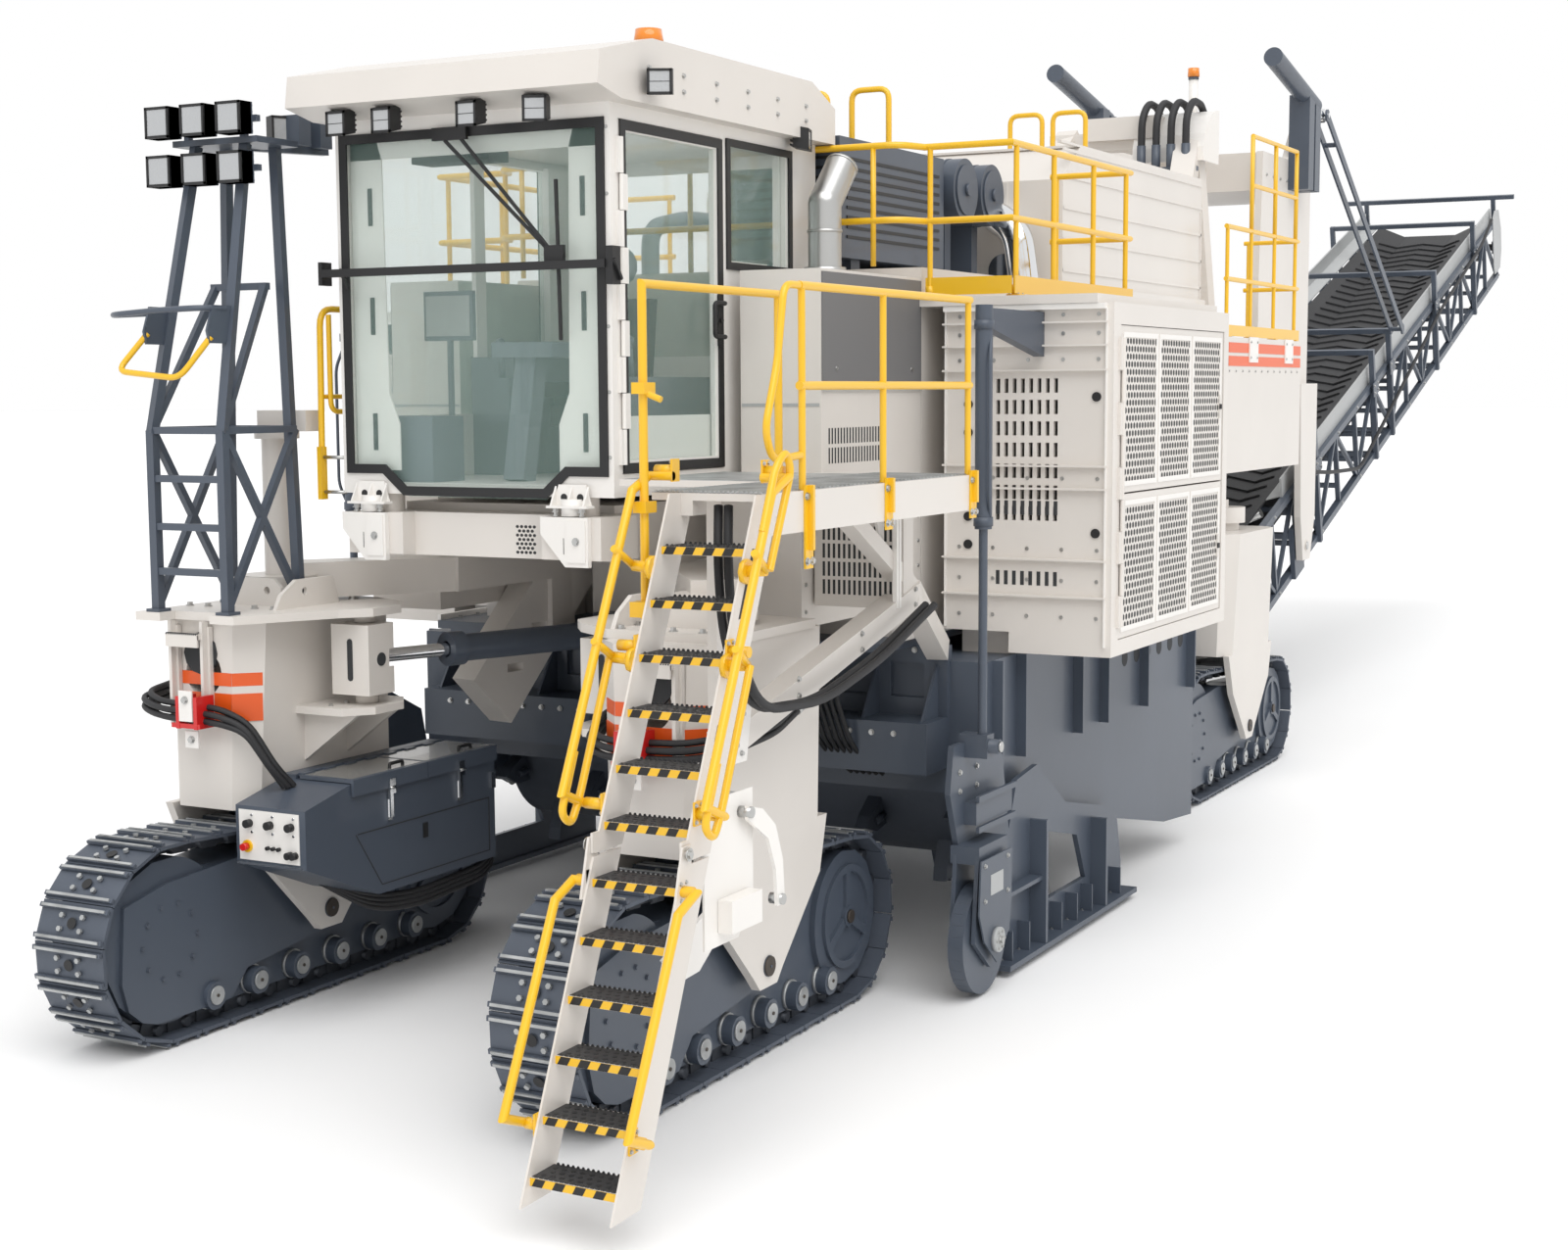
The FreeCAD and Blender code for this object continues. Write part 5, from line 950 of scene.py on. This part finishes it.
# ------------------------------------------------------------------ side housings and hall
def dress_boxes():
    """Hexagon mesh, seams, plugs and latches on the side housings."""
    for side, s in SIDES:
        for row, low, high in (("upper", 3.376, 4.545), ("lower", 2.345, 3.364)):
            body = "box_door_%s_%s" % (row, side)
            # black hexagons laid on the doors stand in for the openings of the mesh: painted shade in them
            mesh = Batch("mesh holes %s %s" % (row, side), BLACK, body, slot="beige_paint")
            frame_piece = Batch("door frames %s %s" % (row, side), WHITE, body)
            latch = Batch("door latch %s %s" % (row, side), BLACK, body)
            x0, x1 = -8.64, -6.166
            width = (x1 - x0 - 0.06) / 3
            for pane in range(3):
                a = x0 + 0.06 + pane * width
                b = a + width - 0.06
                frame_piece.box(a, b, s * 3.196, s * 3.2, low + 0.05, low + 0.06)
                pitch_x, pitch_z = 0.062, 0.054
                rows = int((high - low - 0.14) / pitch_z)
                cols = int((b - a - 0.03) / pitch_x)
                for r in range(rows):
                    for c in range(cols):
                        x = a + 0.03 + c * pitch_x + (r % 2) * pitch_x / 2
                        z = low + 0.09 + r * pitch_z
                        if x > b - 0.02:
                            continue
                        y = s * 3.1925
                        verts = [(hx, y, hz) for hx, hz in regular(6, x, z, 0.024, 30)]
                        mesh.add(verts, [(0, 1, 2, 3, 4, 5) if s < 0 else (5, 4, 3, 2, 1, 0)])
                band(frame_piece, "y", s * 3.192, s * 3.199,
                    [(a - 0.01, low + 0.045), (b + 0.01, low + 0.045), (b + 0.01, high - 0.045),
                    (a - 0.01, high - 0.045)], 0.035)
            latch.box(x0 + 0.06, x0 + 0.1, s * 3.2, s * 3.212, (low + high) / 2 - 0.02,
                (low + high) / 2 + 0.02)
        plug = Batch("plugs " + side, BLACK)
        slot = Batch("vent slots " + side, SHADE)
        bolt = Batch("housing bolts " + side, STEEL)
        lip = Batch("housing lips " + side, WHITE, slot="beige_paint")
        f = -6.0
        for y, z in ((2.12, 4.0), (2.12, 3.8), (2.12, 3.2), (2.12, 3.0), (3.08, 4.05), (3.08, 3.1)):
            plug.rod((f, f + 0.012), s * y, z, 0.033, 18)
        for row, z in ((0, 3.3), (1, 2.8)):
            for c in range(8):
                y = 2.335 + c * 0.062
                slot.box(f + 0.0005, f + 0.002, s * y, s * (y + 0.028), z - 0.08, z + 0.02)
        for z in (4.62, 4.49, 4.31, 3.48, 2.98, 2.76, 2.5):
            for y in spaced(2.05, 0.26, 5):
                bolt.bolt((f, s * y, z), AHEAD, 0.011, 0.01)
        lip.boxes((f - 0.003, f + 0.02, s * 1.94, s * 1.952, 2.4, 4.66),
            (f - 0.003, f + 0.024, s * 3.148, s * 3.158, 2.3, 4.66),
            (f, f + 0.05, s * 1.94, s * 3.15, 4.655, 4.695))


def dress_body():
    """Radiator panels, hood seams and ribs, air filter bands, exhaust flange."""
    dark = Batch("radiator faces", RADIATOR)
    pale = Batch("radiator slats", GREY)
    rib = Batch("hood ribs", BEIGE)
    steel = Batch("body bolts", STEEL)
    for s in (1, -1):
        y = s * 1.75
        dark.box(-4.4, -5.97, y, y + s * 0.012, 4.15, 4.88)
        pale.boxes((-4.39, -5.98, y, y + s * 0.016, 4.1, 4.15),
            (-4.392, -4.386, s * 1.16, s * 1.74, 4.0, 4.02))
        for x, z in corners((-4.6, -5.8), (4.25, 4.78)):
            steel.bolt((x, y + s * 0.012, z), (0, s, 0), 0.012, 0.008)
        for x in (-4.16, -5.94):
            for z in spaced(2.66, 0.18, 5):
                steel.bolt((x, y, z), (0, s, 0), 0.011, 0.01)
        for z in (5.1, 5.36, 5.62, 5.88, 6.1):
            rib.box(-8.97, -12.88, s * 1.7, s * 1.712, z - 0.012, z + 0.012)
        for x in (-8.97, -12.86):
            rib.box(x - 0.012, x + 0.012, s * 1.7, s * 1.712, 5.0, 5.84)
        for x in spaced(-8.9, -0.45, 9):
            steel.bolt((x, s * 1.75, 4.9), (0, s, 0), 0.011, 0.012)
        rib.box(-8.95, -12.9, s * 1.66, s * 1.7, 6.15, 6.17)
    for x in spaced(-9.4, -0.5, 8):
        rib.box(x - 0.03, x + 0.03, -1.66, 1.66, 6.15, 6.17)
    for y in (-1.2, -0.4, 0.4, 1.2):
        rib.box(-8.94, -8.95, y - 0.02, y + 0.02, 5.02, 5.84)
    rib.box(-6.02, -8.9, -0.9, 0.2, 4.98, 5.0)
    # air filters: bands, latches, louvres on the housing
    # louvres drawn as black strips on the housings: painted shade in the gaps under the slats
    louvre_shade = Batch("filter louvres", BLACK, slot="slate_paint")
    can = Batch("filter bands", SLATE)
    for z in spaced(5.2, 0.07, 9):
        louvre_shade.boxes((-5.79, -5.782, 0.36, 1.14, z, z + 0.022), (-5.9, -7.55, 1.2, 1.208, z, z + 0.022))
    for x in (-7.96, -8.52):
        for y in (0.5, 0.8, 1.12):
            can.rod(x, (y - 0.012, y + 0.012), 5.7, 0.256, 28)
        can.rod(x, (1.26, 1.275), 5.7, 0.2, 28)
        can.rod(x, (1.27, 1.3), 5.7, 0.05, 16)
    pipe = Batch("exhaust bands", STEEL, slot="polished_steel")
    pipe.rod(-5.35, 1.3, (4.92, 4.96), 0.15, 24)
    pipe.rod(-5.35, 1.3, (5.2, 5.22), 0.125, 24)
    pipe.cyl((-5.602, 1.3, 5.663), (-5.618, 1.3, 5.678), 0.122, 24)
    duct = Batch("exhaust duct", CHROME)
    duct.tube([(-8.94, 1.15, 5.55), (-8.72, 1.2, 5.55), (-8.6, 1.45, 5.4), (-8.62, 1.5, 5.0)], 0.13, 18,
        0.2, 6)
    duct.rod((-8.95, -8.8), 1.25, 5.1, 0.14, 24)
    pipes = Batch("charge pipes", SLATE)
    pipes.tube([(-6.05, -0.55, 5.0), (-6.05, -0.55, 5.35), (-6.6, -0.55, 5.45), (-8.9, -0.55, 5.5)],
        0.07, 14, 0.2, 6)
    pipes.tube([(-7.65, 0.75, 5.5), (-7.75, 0.75, 5.62)], 0.12, 14)


def dress_chassis():
    """Flange bolts, gussets, hoses at the cross beam, drum picks and side plates."""
    steel = Batch("frame bolts", STEEL, slot="slate_paint")
    gusset = Batch("frame gussets", SLATE)
    white = Batch("frame flange", WHITE, slot="beige_paint")
    shade = Batch("frame holes", SHADE, slot="slate_paint")
    for s in (1, -1):
        for x in spaced(-5.3, -0.23, 30):
            steel.bolt((x, s * 1.86, 2.36), UP, 0.016, 0.02)
        for y in spaced(0.2, 0.17, 11):
            steel.bolt((-5.555, s * y, 2.27), AHEAD, 0.016, 0.02)
            steel.bolt((-5.2, s * y, 1.72), AHEAD, 0.016, 0.02)
        for y in spaced(0.23, 0.46, 5):
            gusset.prism([(-5.56, 1.8), (-5.3, 1.8), (-5.56, 2.18)], "y", s * y - 0.01, s * y + 0.01)
        white.box(-5.1, -12.3, s * 1.9, s * 1.93, 2.36, 2.4)
        for x in spaced(-5.3, -0.2, 34):
            steel.bolt((x, s * 1.93, 2.38), (0, s, 0), 0.012, 0.012)
        for x in spaced(-8.6, -0.3, 7):
            shade.rod(x, (s * 2.42, s * 2.422), 1.9, 0.07, 18)
        for x in (-5.75, -6.2, -7.4, -8.0, -9.0, -10.3):
            gusset.box(x - 0.012, x + 0.012, s * 2.42, s * 2.5, 1.45, 2.2)
    hose = Batch("frame hoses", RUBBER)
    for y in spaced(1.25, 0.05, 6):
        hose.tube([(-5.5, y, 2.3), (-5.15, y, 2.24), (-5.08, y, 2.0), (-5.16, y + 0.1, 1.6),
            (-5.45, y + 0.2, 1.38)], 0.018, 8, 0.12, 5)
        hose.tube([(-5.5, -y, 2.3), (-5.15, -y, 2.24), (-4.9, -y, 2.1), (-4.5, -y + 0.1, 2.2)], 0.018, 8,
            0.12, 5)

    pick = Batch("picks", WORN, "milling_drum")
    holder = Batch("pick holders", TRACK, "milling_drum")
    rows, half = 17, 2.1

    def on_drum(out, ahead, y, c, s):
        """Place on the drum: out from its axis, ahead in its turn."""
        return DRUM_X + out * c - ahead * s, y, DRUM_Z + out * s + ahead * c

    for row in range(rows):
        y = -half + 0.11 + row * (2 * half - 0.22) / (rows - 1)
        for turn in range(3):
            a = radians(turn * 120 + abs(row - rows // 2) * 43)
            c, s = cos(a), sin(a)
            pick.cyl(on_drum(0.8, -0.04, y, c, s), on_drum(0.91, 0.06, y, c, s), 0.035, 12, top=0.006)
            for side in (0.06, -0.06):
                holder.cyl(on_drum(0.66, 0, y + side, c, s), on_drum(0.78, 0.02, y + side, c, s), 0.03, 8)


def dress_side(side, s):
    """Long cover over the gauge wheel, hub disc, ribs, clamps and hoses of a skid."""
    body = "side_plate_" + side
    plate = Batch("skid ribs " + side, SLATE, body)
    steel = Batch("skid bolts " + side, STEEL, body, slot="slate_paint")
    pale = Batch("skid plate " + side, GREY, body, slot="white_paint")
    grey = Batch("wheel hub disc " + side, GREY, body)
    y = 2.745
    cover = [(-4.74, 0.98), (-4.71, 0.62), (-4.80, 0.42), (-5.02, 0.235), (-5.24, 0.42), (-5.28, 0.62),
        (-5.28, 0.98)]
    plate.prism(cover, "y", s * y, s * (y + 0.012))
    grey.rod(WHEEL_X, (s * 2.757, s * 2.79), WHEEL_Z, 0.085, 24)
    steel.bolt((WHEEL_X, s * 2.79, WHEEL_Z), (0, s, 0), 0.024, 0.02)
    for x, z in regular(6, WHEEL_X, WHEEL_Z, 0.062):
        steel.bolt((x, s * 2.79, z), (0, s, 0), 0.009, 0.01)
    for x, z in corners((-4.8, -5.2), (0.94, 0.7)):
        steel.bolt((x, s * 2.757, z), (0, s, 0), 0.013, 0.014)
    pale.box(-4.9, -5.12, s * 2.757, s * 2.76, 0.72, 0.86)
    for x, z in corners((-5.15, -4.86), (1.55, 1.42)):
        steel.bolt((x, s * 2.545, z), (0, s, 0), 0.016, 0.016)
    for x in spaced(-5.6, -0.33, 8):
        steel.bolt((x, s * 2.56, 0.09), UP, 0.012, 0.012)
        plate.prism([(x - 0.008, 0.09), (x + 0.008, 0.09), (x + 0.008, 0.3), (x - 0.008, 0.3)], "y",
            s * 2.545, s * 2.64)
    for z in (1.36, 1.15):
        plate.box(-4.93, -5.6, s * 2.635, s * 2.66, z - 0.02, z + 0.02)
    plate.rod(WHEEL_X, (s * 2.52, s * 2.78), 1.72, 0.05, 18)
    steel.rod(WHEEL_X, (s * 2.78, s * 2.792), 1.72, 0.036, 14)
    ram = Batch("lift ram fittings " + side, SLATE)
    for z in (3.2, 4.5):
        ram.rod(WHEEL_X, s * 2.65, (z, z + 0.06), 0.066, 20)
    ram.tube([(WHEEL_X, s * 2.7, 4.45), (-4.93, s * 2.72, 4.3), (-4.93, s * 2.72, 3.4),
        (WHEEL_X, s * 2.7, 3.25)], 0.012, 8, 0.06, 4)
    tyre = Batch("wheel ribs " + side, TRACK, "gauge_wheel_" + side, slot="slate_paint")
    for x, z in regular(30, WHEEL_X, WHEEL_Z, 0.379):
        tyre.beam((x, s * 2.58, z), (x, s * 2.66, z), 0.004, 0.004)


def dress_links():
    """Link plate of the left front column; link arm, lamp and control box by the ladder."""
    white = Batch("link plate left", WHITE, "crawler_front_left")
    steel = Batch("link bolts left", STEEL, "crawler_front_left", slot="slate_paint")
    white.prism([(-1.61, 1.75), (-2.11, 1.65), (-2.05, 1.19), (-1.54, 1.01), (-1.76, 0.85),
        (-1.93, 0.86), (-2.3, 1.1), (-2.3, 1.7)], "y", 2.19, 2.215)
    steel.bolt((-1.9, 2.215, 1.45), (0, 1, 0), 0.02, 0.02)
    arm = Batch("link arm", WHITE)
    lamp = Batch("step lamp", WHITE)
    case = Batch("ladder control box", GREY)
    stop = Batch("ladder stop button", RED, slot="yellow_paint")
    ring = Batch("ladder stop ring", YELLOW)
    pin = Batch("link arm pins", STEEL, slot="polished_steel")
    arm.prism([(-1.2, 1.99), (-1.2, 1.92), (-1.42, 1.78), (-1.5, 1.6), (-1.52, 1.4), (-1.6, 1.4),
        (-1.58, 1.64), (-1.5, 1.84), (-1.36, 1.95)], "y", 2.915, 2.935)
    arm.prism([(-0.85, 2.06), (-1.36, 2.06), (-1.36, 1.5), (-1.2, 1.3), (-0.85, 1.3)], "y", 2.862, 2.874)
    for x, z in ((-1.22, 1.955), (-1.56, 1.43)):
        pin.rod(x, (2.87, 2.95), z, 0.03, 14)
    lamp.box(-0.98, -1.3, 2.876, 2.96, 1.37, 1.54)
    case.box(-1.02, -1.3, 2.72, 2.858, 1.74, 2.04)
    ring.rod((-1.02, -1.0), 2.79, 1.84, 0.045, 18)
    stop.rod((-1.0, -0.955), 2.79, 1.84, 0.028, 16)


# ------------------------------------------------------------------ rear and boom
def dress_rear():
    """Beacon post, hose arcs, bolts and flanges of the gantry and slewing frame."""
    post = Batch("rear beacon post", WHITE)
    amber = Batch("rear beacon", AMBER)
    hose = Batch("gantry hoses", RUBBER)
    steel = Batch("gantry bolts", STEEL)
    post.rod(-16.9, 0.36, (7.15, 7.72), 0.055, 20)
    collar = Batch("hose clamps rear", SLATE)
    saddle = Batch("hose saddle", WHITE)
    collar.rod(-16.9, 0.36, (7.72, 7.75), 0.062, 20)
    amber.rod(-16.9, 0.36, (7.75, 7.85), 0.07, 20, top=0.066)
    arc = [(-15.95 + r * cos(radians(a)), 6.62 + r * sin(radians(a)))
        for r, turns in ((0.6, range(0, 91, 15)), (0.575, range(90, -1, -15))) for a in turns]
    saddle.prism(arc, "y", 0.16, 0.94)
    for edge in (0.14, 0.94):
        saddle.prism(arc[:7] + [(-15.95, 6.62)], "y", edge, edge + 0.02)
    for y in spaced(0.28, 0.17, 4):
        collar.rod(-15.26, y, (6.42, 6.8), 0.05, 12)
        hose.tube([(-15.26, y, 6.75), (-15.27, y, 7.1), (-15.5, y, 7.3), (-15.8, y, 7.28),
            (-15.92, y, 7.2)], 0.042, 10, 0.2, 6)
    collar.box(-15.2, -15.32, 0.16, 0.92, 6.5, 6.55)
    for s in (1, -1):
        for k in range(6):
            steel.bolt((-15.5 - 0.05 * k, s * 0.905, 6.85 + 0.02 * k), (0, s, 0), 0.013, 0.012)
        for x in spaced(-13.1, -0.24, 12):
            steel.bolt((x, s * 1.95, 4.28), (0, s, 0), 0.011, 0.011)
        for x, z in ((-13.3, 4.62), (-13.1, 4.62), (-13.5, 4.62)):
            steel.bolt((x, s * 1.35, z), UP, 0.018, 0.02)
    for x, y in regular(16, -17.6, 0, 0.3):
        steel.bolt((x, y, 7.15), UP, 0.02, 0.024)
    turn = Batch("slew frame bolts", STEEL, "slew_frame")
    pins = Batch("boom pins", STEEL, "slew_frame", slot="polished_steel")
    for s in (1, -1):
        for x, z in ((-18.8, 2.13), (-19.05, 7.47)):
            pins.rod(x, (s * 1.33, s * 1.342), z, 0.05, 20)
        for x in spaced(-17.15, -0.3, 6):
            turn.bolt((x, s * 1.18, 4.15), (0, s, 0), 0.016, 0.016)
            turn.bolt((x, s * 1.18, 6.6), (0, s, 0), 0.016, 0.016)


def dress_boom():
    """Chevron cleats and idlers of the belt, splice plates, bolts and a cable of the boom."""
    pivot, rise = Vector((-18.8, 0, 2.13)), radians(17.2)
    down = 0.35 * cos(rise)

    def at(s, y, n):
        """Place on the boom from its hinge: s out, y aside, n up from the lower chord."""
        x, z = -s, n - down
        return (pivot.x + x * cos(rise) + z * sin(rise), y, pivot.z - x * sin(rise) + z * cos(rise))

    cleat = Batch("belt cleats", RUBBER, "boom")
    idler = Batch("belt idlers", STEEL, "boom", slot="polished_steel")
    plate = Batch("boom splice plates", SLATE, "boom")
    steel = Batch("boom bolts", STEEL, "boom", slot="slate_paint")
    for s in spaced(-1.6, 0.36, 44):
        for side in (1, -1):
            cleat.beam(at(s, 0, 0.792), at(s - 0.22, side * 0.42, 0.792), 0.03, 0.02)
            cleat.beam(at(s - 0.22, side * 0.42, 0.795), at(s - 0.36, side * 0.7, 0.92), 0.03, 0.02)
    for s in spaced(-1.4, 1.1, 15):
        idler.cyl(at(s, -0.42, 0.68), at(s, 0.42, 0.68), 0.06, 14)
        for side in (1, -1):
            idler.cyl(at(s, side * 0.46, 0.69), at(s, side * 0.86, 0.87), 0.06, 14)
    for s in (1.18, 4.53, 5.62, 8.92, 12.19):
        for side in (1, -1):
            plate.prism([(a[0], a[2]) for a in (at(s - 0.16, 0, 0.9), at(s + 0.16, 0, 0.9),
                at(s + 0.16, 0, 1.1), at(s - 0.16, 0, 1.1))], "y", side * 1.22, side * 1.232)
            for ds, dn in corners((-0.1, 0.1), (-0.05, 0.05)):
                steel.bolt(at(s + ds, side * 1.232, 1.0 + dn), (0, side, 0), 0.016, 0.016)
    for side in (1, -1):
        for s in spaced(-1.9, 1.1, 16):
            steel.bolt(at(s, side * 1.175, 1.0), (0, side, 0), 0.018, 0.014)
            steel.bolt(at(s, side * 1.175, 0.0), (0, side, 0), 0.018, 0.014)
    cable = Batch("boom cable", RUBBER, "boom")
    cable.tube([at(0.2, 1.24, 1.25), at(1.6, 1.27, 0.75), at(3.2, 1.27, 0.25), at(5.0, 1.27, 0.45),
        at(9.0, 1.26, 0.9), at(12.6, 1.26, 1.05), at(13.6, 1.25, 1.25)], 0.026, 8, 0.3, 6)


for side, sign in SIDES:
    dress_track("front", side, FRONT_PIN, sign * TRACK_Y)
    dress_track("rear", side, REAR_PIN, sign * TRACK_Y)
    dress_column(side, sign)
    dress_side(side, sign)
for dress in (dress_toolbox, dress_mast, dress_cab, dress_ladder, dress_hand_loops, dress_platform,
        dress_rails, dress_boxes, dress_body, dress_chassis, dress_links, dress_rear, dress_boom):
    dress()
objects = {batch.name: batch.emit() for batch in Batch.made}
for end in ("front", "rear"):
    for side, _ in SIDES:
        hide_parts("track_loop_%s_%s" % (end, side))
